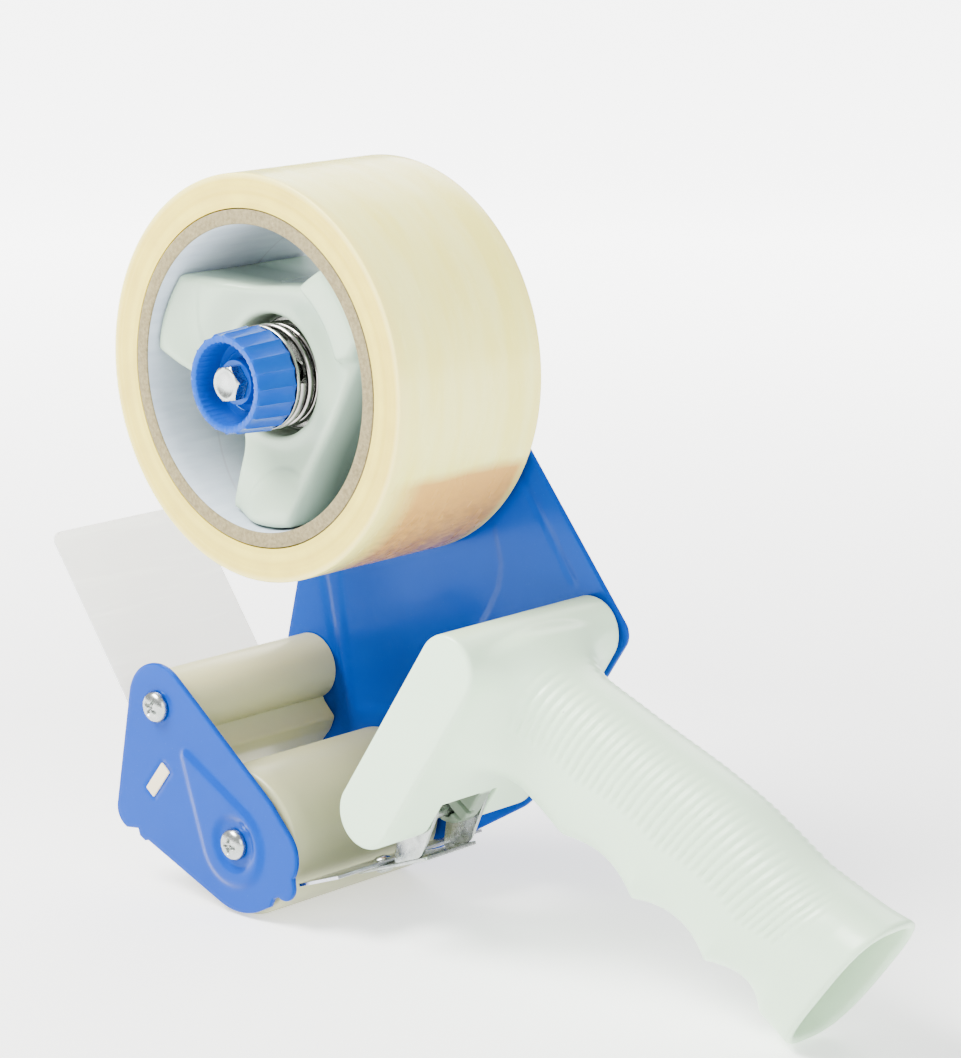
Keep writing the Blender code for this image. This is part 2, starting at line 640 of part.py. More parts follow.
def build_brake():
    seat_low, seat_high = HUB_RECESS_FLOOR_Y - GAP - SEAT_THICKNESS, HUB_RECESS_FLOOR_Y - GAP
    seat = ring(HUB_AXIS, (WASHER_BORE_RADIUS, SEAT_RADIUS), seat_low, seat_high)
    add_part("spring_seat_washer", seat, ZINC, body="tape_reel", smooth=True)
    start = SPRING_FAR_Y - SPRING_WIRE_RADIUS
    end = SPRING_NEAR_Y + SPRING_WIRE_RADIUS
    count = SPRING_TURNS * SPRING_POINTS_PER_TURN
    points = []
    for i in range(count + 1):
        angle = 2 * math.pi * SPRING_TURNS * i / count
        x = HUB_AXIS[0] + SPRING_RADIUS * math.cos(angle)
        z = HUB_AXIS[1] + SPRING_RADIUS * math.sin(angle)
        points.append((x, start + (end - start) * i / count, z))
    add_part("brake_spring", wire(points, SPRING_WIRE_RADIUS), SPRING_STEEL, smooth=True)
    thrust = ring(HUB_AXIS, (WASHER_BORE_RADIUS, THRUST_RADIUS), KNOB_FAR_Y + GAP, SPRING_NEAR_Y - GAP)
    add_part("thrust_washer", thrust, ZINC, body="tension_slide", smooth=True)


def build_knob():
    bore = BOLT_RADIUS + GAP
    boss_top = BOLT_HEAD_FAR_Y + GAP
    profile = [
        (bore, KNOB_FAR_Y), (KNOB_FAR_RADIUS, KNOB_FAR_Y), (KNOB_NEAR_RADIUS, KNOB_NEAR_Y + KNOB_ROUNDING),
        (KNOB_NEAR_RADIUS - KNOB_ROUNDING, KNOB_NEAR_Y), (KNOB_CUP_MOUTH_RADIUS, KNOB_NEAR_Y),
        (KNOB_CUP_RADIUS, KNOB_CUP_FLOOR_Y), (KNOB_BOSS_RADIUS, KNOB_CUP_FLOOR_Y),
        (KNOB_BOSS_RADIUS, boss_top), (bore, boss_top),
    ]
    mesh = turned(profile, HUB_AXIS, closed=True, steps=KNOB_FLUTES * 3)
    for vertex in mesh.vertices:
        x, z = vertex.co.x - HUB_AXIS[0], vertex.co.z - HUB_AXIS[1]
        radius = math.hypot(x, z)
        if radius > KNOB_NEAR_RADIUS - 0.2 * MM:
            wave = 0.5 - 0.5 * math.cos(KNOB_FLUTES * math.atan2(z, x))
            shrink = 1 - KNOB_FLUTE_DEPTH * wave / radius
            vertex.co.x = HUB_AXIS[0] + x * shrink
            vertex.co.z = HUB_AXIS[1] + z * shrink
    add_part("tension_knob", mesh, BLUE_PLASTIC, body="tension_knob", smooth=True)
    shank = cylinder(HUB_AXIS, BOLT_RADIUS, BOLT_HEAD_FAR_Y - CUT_MARGIN, BOLT_END_Y)
    bolt = add_part("axle_bolt", shank, ZINC, body="tension_knob", smooth=True)
    hexagon = arc(HUB_AXIS, BOLT_HEAD_ACROSS_FLATS / math.sqrt(3), 10, 310, 5)
    head = slab(hexagon, BOLT_HEAD_NEAR_Y, BOLT_HEAD_FAR_Y)
    combine(bolt, add_cutter("bolt_head", head), "UNION")


# ---------------------------------------------------------------- handle

def spline_point(points, t):
    """A point at t from 0 to 1 on a smooth curve through evenly timed points."""
    place = t * (len(points) - 1)
    i = min(int(place), len(points) - 2)
    f = place - i
    p0 = Vector(points[max(i - 1, 0)])
    p1 = Vector(points[i])
    p2 = Vector(points[i + 1])
    p3 = Vector(points[min(i + 2, len(points) - 1)])
    return 0.5 * ((2 * p1) + (p2 - p0) * f + (2 * p0 - 5 * p1 + 4 * p2 - p3) * f**2
                  + (3 * p1 - p0 - 3 * p2 + p3) * f**3)


def groove(t):
    """How deep a finger groove is at t along the grip, from 0 to 1."""
    for start, end in zip(FINGER_RIDGES, FINGER_RIDGES[1:]):
        if start < t < end:
            return math.sin(math.pi * (t - start) / (end - start)) ** 1.3
    return 0.0


def grip_ring(t, wall=0.0):
    """One section of the grip: a rounded loop between its upper and lower lines."""
    upper_line = [(15, 80.6), (36.5, 74.0), (60.8, 64.7), (84.0, 55.5)]
    upper_line += [(106.4, 42.6), (120.5, 37.0), (129.6, 34.0)]
    lower_line = [(6, 50.5), (22.0, 43.4), (39.3, 31.4), (58.5, 22.6)]
    lower_line += [(77.8, 14.0), (93.0, 6.4), (103.8, 0.0)]
    upper = spline_point(upper_line, t) * MM
    lower = spline_point(lower_line, t) * MM
    height = (upper - lower).normalized()
    lower += height * FINGER_GROOVE_DEPTH * groove(t)
    centre = (upper + lower) / 2
    tall = (upper - lower).length / 2 - wall
    blend = min(t / GRIP_ROOT_SHARE, 1.0)
    flare = max((t - GRIP_FLARE_START) / (1 - GRIP_FLARE_START), 0.0) ** 2
    wide = GRIP_ROOT_HALF_WIDTH + (GRIP_HALF_WIDTH - GRIP_ROOT_HALF_WIDTH) * blend
    wide += (GRIP_END_HALF_WIDTH - GRIP_HALF_WIDTH) * flare - wall
    power = SECTION_POWER + FLARE_POWER * flare
    points = []
    for i in range(GRIP_SIDES):
        angle = 2 * math.pi * i / GRIP_SIDES
        c, s = math.cos(angle), math.sin(angle)
        across = math.copysign(abs(c) ** (2 / power), c) * wide
        up = math.copysign(abs(s) ** (2 / power), s) * tall
        points.append((centre.x + height.x * up, across, centre.y + height.y * up))
    return points


def loft(rings):
    """A closed solid through rings of points, capped at both ends."""
    bm = bmesh.new()
    loops = [[bm.verts.new(point) for point in ring_points] for ring_points in rings]
    for first, second in zip(loops, loops[1:]):
        for i in range(len(first)):
            j = (i + 1) % len(first)
            bm.faces.new((first[i], first[j], second[j], second[i]))
    bm.faces.new(loops[0])
    bm.faces.new(loops[-1])
    bmesh.ops.recalc_face_normals(bm, faces=bm.faces)
    mesh = bpy.data.meshes.new("loft")
    bm.to_mesh(mesh)
    bm.free()
    return mesh


def block_mesh():
    """The stadium-shaped block across the frame, with its long edges rounded at both ends."""
    reach = BLOCK_HALF_LENGTH - BLOCK_RADIUS
    circles = [(*block_point(along, 0.0), BLOCK_RADIUS) for along in (-reach, reach)]
    mesh = slab(belt(circles, 32), -BETWEEN_PLATES_Y, BETWEEN_PLATES_Y)
    obj = bpy.data.objects.new("block", mesh)
    bevel = obj.modifiers.new("rounding", "BEVEL")
    bevel.width = BLOCK_ROUNDING
    bevel.segments = 2
    bevel.limit_method = "ANGLE"
    bevel.angle_limit = math.radians(60)
    return evaluated_mesh(obj)


def build_handle():
    handle = add_part("handle", block_mesh(), PALE_PLASTIC, smooth=True)
    rings = [grip_ring(i / (GRIP_RINGS - 1)) for i in range(GRIP_RINGS)]
    combine(handle, add_cutter("grip", loft(rings)), "UNION")
    step = (1 - HOLLOW_START) / (HOLLOW_RINGS - 1)
    inner = [grip_ring(HOLLOW_START + i * step, GRIP_WALL) for i in range(HOLLOW_RINGS)]
    away = Vector(GRIP_END_DIRECTION) * CUT_MARGIN
    inner.append([tuple(Vector(point) + away) for point in inner[-1]])
    combine(handle, add_cutter("grip_hollow", loft(inner)), "DIFFERENCE")
    for label, low, high in (("near", NOTCH_NEAR_Y, TONGUE_NEAR_Y), ("far", TONGUE_FAR_Y, NOTCH_FAR_Y)):
        wide, deep = 16 * MM, -60 * MM
        corners = [(deep, -wide), (NOTCH_TOP, -wide), (NOTCH_TOP, wide), (deep, wide)]
        outline = [block_point(along, across) for along, across in corners]
        combine(handle, add_cutter("notch_" + label, slab(outline, low, high)), "DIFFERENCE")
    pin_hole = cylinder(PIN_AXIS, PIN_RADIUS + GAP, PIN_NEAR_Y - GAP, PIN_FAR_Y + GAP)
    combine(handle, add_cutter("handle_pin_hole", pin_hole), "DIFFERENCE")
    for label, along in handle_screw_places():
        cut_screw_hole(handle, block_point(along, 0.0), 1)


# ---------------------------------------------------------------- blade lever

def bracket_matrix(lift):
    """A plane along the blade, with U to the rear and V across, raised by lift."""
    along = Vector((math.cos(BLADE_SLOPE), 0.0, math.sin(BLADE_SLOPE)))
    across = Vector((0.0, -1.0, 0.0))
    normal = along.cross(across)
    if normal.z < 0:
        across = -across
        normal = -normal
    matrix = Matrix((along, across, normal)).transposed().to_4x4()
    matrix.translation = Vector((BLADE_EDGE[0], 0.0, BLADE_EDGE[1])) + lift * normal
    return matrix


def build_blade():
    half = BLADE_HALF_LENGTH
    count = round(2 * half / TOOTH_PITCH)
    outline = [(BLADE_WIDTH, half), (BLADE_WIDTH, -half)]
    for i in range(count):
        low = -half + i * TOOTH_PITCH
        outline += [(TOOTH_DEPTH, low), (0.0, low + TOOTH_PITCH / 2)]
    outline.append((TOOTH_DEPTH, half))
    blade = add_part("blade", sheet(outline, bracket_matrix(0.0), BLADE_THICKNESS), ZINC, body="blade_lever")
    for label, y in RIVET_PLACES:
        outline = arc((RIVET_DISTANCE, y), RIVET_RADIUS + GAP, 0, 337.5, 15)
        form = add_cutter("rivet_hole_" + label, sheet(outline, bracket_matrix(0.0), 4 * CUT_MARGIN))
        combine(blade, form, "DIFFERENCE")
        RIVET_HOLES.append(form)
        build_rivet("blade_rivet_" + label, RIVET_DISTANCE, y)


def build_rivet(name, u, y):
    top = BLADE_THICKNESS / 2 + GAP
    bottom = -BLADE_THICKNESS / 2 - GAP - BRACKET_THICKNESS - GAP
    profile = [
        (0.0, top + 0.9 * MM), (1.6 * MM, top + 0.7 * MM), (2.3 * MM, top), (RIVET_RADIUS, top),
        (RIVET_RADIUS, bottom), (2.1 * MM, bottom), (1.5 * MM, bottom - 0.6 * MM), (0.0, bottom - 0.7 * MM),
    ]
    mesh = turned(profile, (0.0, 0.0), steps=16)
    stand = bracket_matrix(0.0) @ Matrix.Translation((u, y, 0.0)) @ Matrix.Rotation(math.pi / 2, 4, "X")
    mesh.transform(stand)
    add_part(name, mesh, ZINC, body="blade_lever", smooth=True)


def build_bracket():
    width = (EAR_NEAR_Y, EAR_FAR_Y)
    lift = -BLADE_THICKNESS / 2 - GAP - BRACKET_THICKNESS / 2
    base = [(BRACKET_START, width[0]), (BRACKET_END, width[0])]
    base += [(BRACKET_END, width[1]), (BRACKET_START, width[1])]
    strip = sheet(base, bracket_matrix(lift), BRACKET_THICKNESS)
    bracket = add_part("blade_bracket", strip, ZINC, body="blade_lever")
    ear = [(-9.3, 21.0), (-3.4, 34.6), (-6.0, 36.8), (-9.4, 37.2), (-16.6, 31.8), (-18.6, 17.4)]
    outline = [(x * MM, z * MM) for x, z in ear]
    for label, low in (("near", EAR_NEAR_Y), ("far", EAR_FAR_Y - BRACKET_THICKNESS)):
        form = add_cutter("ear_" + label, slab(outline, low, low + BRACKET_THICKNESS))
        combine(bracket, form, "UNION")
    bore = cylinder(PIN_AXIS, EAR_BORE_RADIUS, EAR_NEAR_Y - CUT_MARGIN, EAR_FAR_Y + CUT_MARGIN)
    combine(bracket, add_cutter("ear_bore", bore), "DIFFERENCE")
    for form in RIVET_HOLES:
        combine(bracket, form, "DIFFERENCE")
    pin = cylinder(PIN_AXIS, PIN_RADIUS, PIN_NEAR_Y, PIN_FAR_Y)
    add_part("bracket_pin", pin, ZINC, smooth=True)


def build_bracket_spring():
    radius, wire_radius = 2.7 * MM, 0.35 * MM
    start, end = -8.1 * MM, -5.3 * MM
    turns = 3
    count = turns * 8
    points = [(PIN_AXIS[0] - radius, start, PIN_AXIS[1] - 8.0 * MM)]
    for i in range(count + 5):
        angle = math.pi + 2 * math.pi * i / 8
        y = start + (end - start) * i / (count + 4)
        points.append((PIN_AXIS[0] + radius * math.cos(angle), y, PIN_AXIS[1] + radius * math.sin(angle)))
    points.append((PIN_AXIS[0] + radius, end, PIN_AXIS[1] + 5.5 * MM))
    add_part("bracket_spring", wire(points, wire_radius), SPRING_STEEL, smooth=True)


# ---------------------------------------------------------------- build

clear_scene()
PARTS = new_collection("tape_gun")
FORMS = new_collection("forms")
RIVET_HOLES = []
PIVOTS["flap"] = (flap_point(FLAP_ROOT_LENGTH + GAP / 2)[0], 0.0, flap_point(FLAP_ROOT_LENGTH + GAP / 2)[1])
EMPTIES = {"frame": add_empty("axis_frame", (X_SHIFT, 0.0, 0.0))}
for body_name in PIVOTS:
    if body_name != "frame":
        EMPTIES[body_name] = add_empty("axis_" + body_name, PIVOTS[body_name], EMPTIES["frame"])

build_small_plate()
build_large_plate()
build_screws()
build_guide_block()
build_flap()
build_roller()
build_hub()
build_tape()
build_post()
build_brake()
build_knob()
build_handle()
build_blade()
build_bracket()
build_bracket_spring()
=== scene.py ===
# Looks of the tape gun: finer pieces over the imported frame, their materials, lights and camera.
# Lengths here are in millimetres on the frame's own axes, with X counted from DRAWING_X.

import json
import math

import bmesh
import bpy
import numpy as np
from mathutils import Matrix, Vector, geometry


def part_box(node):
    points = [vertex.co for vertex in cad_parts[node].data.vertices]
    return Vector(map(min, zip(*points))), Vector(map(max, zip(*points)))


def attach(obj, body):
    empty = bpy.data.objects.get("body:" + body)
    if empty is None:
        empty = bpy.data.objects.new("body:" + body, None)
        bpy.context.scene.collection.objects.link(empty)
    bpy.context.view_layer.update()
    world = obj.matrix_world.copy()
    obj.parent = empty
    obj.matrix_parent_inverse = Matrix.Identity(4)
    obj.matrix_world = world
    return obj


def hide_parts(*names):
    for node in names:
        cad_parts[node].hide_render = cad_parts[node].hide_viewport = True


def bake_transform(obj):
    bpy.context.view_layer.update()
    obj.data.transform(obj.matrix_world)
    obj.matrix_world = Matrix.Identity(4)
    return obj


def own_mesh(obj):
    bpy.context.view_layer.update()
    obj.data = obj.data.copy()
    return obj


MM = 0.001
DRAWING_X = -0.1 * MM

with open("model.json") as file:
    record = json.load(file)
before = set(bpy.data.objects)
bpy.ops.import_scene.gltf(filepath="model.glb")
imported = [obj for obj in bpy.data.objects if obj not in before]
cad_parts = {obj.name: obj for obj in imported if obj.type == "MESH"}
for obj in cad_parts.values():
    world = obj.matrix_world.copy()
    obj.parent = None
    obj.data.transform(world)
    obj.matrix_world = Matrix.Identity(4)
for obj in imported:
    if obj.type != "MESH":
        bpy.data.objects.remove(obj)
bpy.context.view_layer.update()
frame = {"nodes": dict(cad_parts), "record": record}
JOINTS = {joint["name"]: joint for joint in frame["record"]["behaviour"]["joints"]}


def joint_axis(name):
    """A joint's axis as (x, z) in the drawing's millimetres."""
    x, _, z = JOINTS[name]["pos_m"]
    return ((x - DRAWING_X) / MM, z / MM)


def node_axis(name):
    """The middle of a round node, as (x, z) in the drawing's millimetres."""
    low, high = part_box(name)
    middle = (low + high) / 2
    return ((middle.x - DRAWING_X) / MM, middle.z / MM)


HUB = joint_axis("reel_spin")
ROLLER = joint_axis("roller_spin")
PIN = joint_axis("blade_swing")
HINGE = joint_axis("flap_flex")
GUIDE = node_axis("guide_screw_near")
AXLE = node_axis("axle_screw_near")

# The handle's block: its middle, and how far its long side leans from upright.
BLOCK = (1.35, 56.2)
LEAN = math.radians(33.4)

# Half widths: to the plates' inner and outer faces, and of what is clamped between them.
PLATE_INNER = 27.2
PLATE_OUTER = 28.6
PLATE_THICKNESS = 1.4
BETWEEN = 26.9


# ---------------------------------------------------------------- mesh helpers

def piece(name, skin, looks, body, nodes=(), sharp=35.0, choose=None, closed=True):
    """Make an object from a skin of points and faces in millimetres, and let it ride on its body."""
    verts, faces = skin
    mesh = bpy.data.meshes.new(name)
    points = np.array(verts, float) * MM
    points[:, 0] += DRAWING_X
    mesh.from_pydata(points.tolist(), [], [tuple(face) for face in faces])
    if closed:
        bm = bmesh.new()
        bm.from_mesh(mesh)
        bmesh.ops.recalc_face_normals(bm, faces=bm.faces)
        bm.to_mesh(mesh)
        bm.free()
    for look in looks:
        mesh.materials.append(look)
    if choose:
        for polygon in mesh.polygons:
            centre = polygon.center / MM
            polygon.material_index = choose(centre.x - DRAWING_X / MM, centre.z)
    mesh.shade_smooth()
    mesh.set_sharp_from_angle(angle=math.radians(sharp))
    obj = bpy.data.objects.new(name, mesh)
    bpy.context.scene.collection.objects.link(obj)
    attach(obj, body)
    if nodes:
        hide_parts(*nodes)
    return obj


def soften(points, radius, closed=True, steps=4):
    """Round the corners of a line of 2-D points."""
    points = [Vector(point) for point in points]
    count = len(points)
    result = []
    for i, corner in enumerate(points):
        if not closed and i in (0, count - 1):
            result.append(tuple(corner))
            continue
        before, after = points[i - 1], points[(i + 1) % count]
        reach = min(radius, (before - corner).length * 0.48, (after - corner).length * 0.48)
        start = corner + (before - corner).normalized() * reach
        end = corner + (after - corner).normalized() * reach
        for k in range(steps + 1):
            t = k / steps
            result.append(tuple((1 - t) ** 2 * start + 2 * t * (1 - t) * corner + t * t * end))
    return result


def divided(points, spacing, closed=True):
    """Add points so that no side is longer than the spacing."""
    result = []
    count = len(points)
    for i in range(count if closed else count - 1):
        a, b = Vector(points[i]), Vector(points[(i + 1) % count])
        parts = max(1, math.ceil((b - a).length / spacing))
        result += [tuple(a.lerp(b, k / parts)) for k in range(parts) if (b - a).length > 1e-6]
    if not closed:
        result.append(tuple(points[-1]))
    return result


def counter_clockwise(points):
    """The same outline, running counter-clockwise."""
    area = sum(a[0] * b[1] - b[0] * a[1] for a, b in zip(points, points[1:] + points[:1]))
    return points if area > 0 else points[::-1]


def inset(points, distance):
    """Move a counter-clockwise outline inwards."""
    result = []
    count = len(points)
    for i in range(count):
        before, corner, after = Vector(points[i - 1]), Vector(points[i]), Vector(points[(i + 1) % count])
        first = (corner - before).normalized()
        second = (after - corner).normalized()
        n1 = Vector((-first.y, first.x))
        n2 = Vector((-second.y, second.x))
        result.append(tuple(corner + (n1 + n2) * distance / max(1 + n1.dot(n2), 0.4)))
    return result


def arc(centre, radius, start, end, steps):
    """Points of an arc between two angles in degrees."""
    angles = [math.radians(start + (end - start) * i / steps) for i in range(steps + 1)]
    return [(centre[0] + radius * math.cos(a), centre[1] + radius * math.sin(a)) for a in angles]


def belt(circles, steps=96):
    """The outline of a belt stretched round circles given as (x, z, radius)."""
    points = []
    for x, z, radius in circles:
        points += [Vector(p) for p in arc((x, z), radius, 0, 360 - 360 / steps, steps - 1)]
    return [tuple(points[i]) for i in geometry.convex_hull_2d(points)]


def inside(points, outline):
    """Which of many 2-D points lie inside an outline."""
    poly = np.array(outline)
    result = np.zeros(len(points), bool)
    for (x1, z1), (x2, z2) in zip(poly, np.roll(poly, -1, axis=0)):
        crosses = (z1 > points[:, 1]) != (z2 > points[:, 1])
        slope = (x2 - x1) / (z2 - z1) if z1 != z2 else 0.0
        result ^= crosses & (points[:, 0] < x1 + (points[:, 1] - z1) * slope)
    return result


def distance_to(points, line, closed=True):
    """How far each of many 2-D points is from an outline, or from an open line."""
    line = np.array(line)
    best = np.full(len(points), 1e9)
    for a, b in zip(line, np.roll(line, -1, axis=0) if closed else line[1:]):
        side = b - a
        t = np.clip(((points - a) @ side) / max(side @ side, 1e-12), 0, 1)
        best = np.minimum(best, np.hypot(*(points - a - t[:, None] * side).T))
    return best


def sheet(outline, holes, thickness, rounding, spacing, place):
    """A sheet with rounded edges: place(u, v, w) puts a point of it, w deep from its face."""
    sources = [(counter_clockwise(outline), 1)] + [(counter_clockwise(hole), -1) for hole in holes]
    loops = [inset(source, sign * rounding) for source, sign in sources]
    flat, edges = [], []
    for loop in loops:
        base = len(flat)
        flat += loop
        edges += [(base + i, base + (i + 1) % len(loop)) for i in range(len(loop))]
    if spacing:
        low, high = np.min(flat, axis=0), np.max(flat, axis=0)
        grid = np.array([(u + (0.5 * spacing if row % 2 else 0.0), v)
                         for row, v in enumerate(np.arange(low[1], high[1], spacing * 0.87))
                         for u in np.arange(low[0], high[0], spacing)])
        keep = inside(grid, loops[0]) & (distance_to(grid, loops[0]) > spacing * 0.5)
        for loop in loops[1:]:
            keep &= ~inside(grid, loop) & (distance_to(grid, loop) > spacing * 0.5)
        flat += [tuple(point) for point in grid[keep]]
    result = geometry.delaunay_2d_cdt([Vector(p) for p in flat], edges, [], 2, 1e-7)
    points, triangles, origins = result[0], result[2], result[3]
    where = {old: new for new, olds in enumerate(origins) for old in olds}
    verts = [place(p.x, p.y, 0.0) for p in points] + [place(p.x, p.y, thickness) for p in points]
    faces = [tuple(t) for t in triangles] + [tuple(i + len(points) for i in reversed(t)) for t in triangles]
    steps = 3
    angles = [math.pi / 2 * k / steps for k in range(1, steps + 1)]
    edge = [(rounding * (1 - math.sin(angle)), rounding * (1 - math.cos(angle))) for angle in angles]
    wall = edge + [(off, thickness - depth) for off, depth in reversed(edge)]
    base = 0
    for source, sign in sources:
        count = len(source)
        rows = [[where[base + i] for i in range(count)]]
        for off, depth in wall:
            rows.append(list(range(len(verts), len(verts) + count)))
            verts += [place(u, v, depth) for u, v in inset(source, sign * off)]
        rows.append([where[base + i] + len(points) for i in range(count)])
        for upper, lower in zip(rows, rows[1:]):
            for i in range(count):
                j = (i + 1) % count
                faces.append((upper[i], upper[j], lower[j], lower[i]))
        base += count
    return verts, faces


def slab(outline, low, high, rounding=0.3):
    """A flat solid with its outline in X and Z and rounded edges, from y = low to y = high."""
    return sheet(outline, [], high - low, rounding, 0.0, lambda u, v, w: (u, low + w, v))


def turned(profile, axis, steps=96, closed=False, shape=None):
    """Turn a profile of (radius, y) about the line along Y through axis; shape may bend each point."""
    verts, faces, rows = [], [], []
    for radius, y in profile:
        if radius == 0.0:
            rows.append([len(verts)])
            verts.append((axis[0], shape(radius, y, 0.0)[1] if shape else y, axis[1]))
            continue
        row = []
        for i in range(steps):
            angle = 2 * math.pi * i / steps
            r, depth = shape(radius, y, angle) if shape else (radius, y)
            row.append(len(verts))
            verts.append((axis[0] + r * math.cos(angle), depth, axis[1] + r * math.sin(angle)))
        rows.append(row)
    pairs = list(zip(rows, rows[1:]))
    if closed:
        pairs.append((rows[-1], rows[0]))
    for first, second in pairs:
        for i in range(steps):
            j = (i + 1) % steps
            if len(first) == 1 and len(second) > 1:
                faces.append((first[0], second[j], second[i]))
            elif len(second) == 1 and len(first) > 1:
                faces.append((first[i], first[j], second[0]))
            elif len(first) > 1:
                faces.append((first[i], first[j], second[j], second[i]))
    return verts, faces


def tube(points, radius, sides=12):
    """A round wire through 3-D points, with closed ends."""
    points = [Vector(p) for p in points]
    verts, faces, rows = [], [], []
    normal = Vector((0.3, 0.2, 0.9))
    for i, point in enumerate(points):
        tangent = (points[min(i + 1, len(points) - 1)] - points[max(i - 1, 0)]).normalized()
        normal = (normal - tangent * normal.dot(tangent)).normalized()
        side = tangent.cross(normal)
        row = []
        for k in range(sides):
            angle = 2 * math.pi * k / sides
            row.append(len(verts))
            verts.append(tuple(point + radius * (math.cos(angle) * normal + math.sin(angle) * side)))
        rows.append(row)
    for first, second in zip(rows, rows[1:]):
        for k in range(sides):
            m = (k + 1) % sides
            faces.append((first[k], first[m], second[m], second[k]))
    faces.append(tuple(rows[0][::-1]))
    faces.append(tuple(rows[-1]))
    return verts, faces


def mirrored(profile):
    """A profile's other half, from its last point back to its first."""
    return [(radius, -y) for radius, y in reversed(profile)]


def joined(*meshes):
    """One skin made of several."""
    verts, faces = [], []
    for more_verts, more_faces in meshes:
        base = len(verts)
        verts += list(more_verts)
        faces += [tuple(i + base for i in face) for face in more_faces]
    return verts, faces


def surface(values, origin, step):
    """The closed skin where a field of signed distances crosses zero."""
    within = values < 0
    nx, ny, nz = values.shape
    corners = [(i, j, k) for i in (0, 1) for j in (0, 1) for k in (0, 1)]
    count = sum(within[i:nx - 1 + i, j:ny - 1 + j, k:nz - 1 + k].astype(np.int8) for i, j, k in corners)
    mixed = (count > 0) & (count < 8)
    cells = np.argwhere(mixed)
    index = np.full(mixed.shape, -1, np.int64)
    index[mixed] = np.arange(len(cells))
    total = np.zeros((len(cells), 3))
    hits = np.zeros(len(cells))
    for a in corners:
        for b in corners:
            if sum(abs(p - q) for p, q in zip(a, b)) != 1 or a > b:
                continue
            va = values[tuple((cells + a).T)].astype(float)
            vb = values[tuple((cells + b).T)].astype(float)
            cross = (va < 0) != (vb < 0)
            t = np.where(cross, va / np.where(cross, va - vb, 1.0), 0.0)
            point = np.array(a) + t[:, None] * (np.array(b) - np.array(a))
            total += np.where(cross[:, None], point, 0.0)
            hits += cross
    places = cells + total / hits[:, None]
    places = settled(values, places)
    faces = []
    for axis in range(3):
        u, v = (axis + 1) % 3, (axis + 2) % 3
        lower = within.take(range(within.shape[axis] - 1), axis=axis)
        upper = within.take(range(1, within.shape[axis]), axis=axis)
        ends = np.argwhere(lower != upper)
        shape = np.array(within.shape)
        keep = (ends[:, u] > 0) & (ends[:, v] > 0) & (ends[:, u] < shape[u] - 1) & (ends[:, v] < shape[v] - 1)
        ends = ends[keep]
        du, dv = np.eye(3, dtype=int)[u], np.eye(3, dtype=int)[v]
        quad = np.stack([index[tuple((ends - s).T)] for s in (0 * du, du, du + dv, dv)], axis=1)
        flip = ~lower[tuple(ends.T)]
        quad[flip] = quad[flip][:, ::-1]
        faces.append(quad)
    return np.array(origin) + places * step, np.concatenate(faces)


def sampled(values, places):
    """Trilinear samples of a field at fractional grid places."""
    base = np.clip(np.floor(places).astype(int), 0, np.array(values.shape) - 2)
    f = places - base
    result = np.zeros(len(places))
    for i in (0, 1):
        for j in (0, 1):
            for k in (0, 1):
                weight = (np.abs(1 - i - f[:, 0]) * np.abs(1 - j - f[:, 1]) * np.abs(1 - k - f[:, 2]))
                result += weight * values[tuple((base + (i, j, k)).T)]
    return result


def settled(values, places):
    """Move places onto the zero of the field."""
    for _ in range(2):
        here = sampled(values, places)
        slope = np.stack([sampled(values, places + 0.5 * e) - sampled(values, places - 0.5 * e)
                          for e in np.eye(3)], axis=1)
        size = np.maximum((slope ** 2).sum(axis=1), 1e-4)
        move = np.clip(here / size, -0.6, 0.6)[:, None] * slope
        places = places - np.clip(move, -0.3, 0.3)
    return places


def merged(a, b, k):
    """Union of two distance fields with a fillet of size k."""
    h = np.clip(0.5 + 0.5 * (b - a) / k, 0, 1)
    return b + (a - b) * h - k * h * (1 - h)


def cut_back(a, b, k):
    """What is inside both fields, with its shared edge rounded by k."""
    return -merged(-a, -b, k)


def ramp(value, start, end):
    """0 below start, 1 above end, and smooth between."""
    t = np.clip((value - start) / (end - start), 0, 1)
    return t * t * (3 - 2 * t)


# ---------------------------------------------------------------- materials

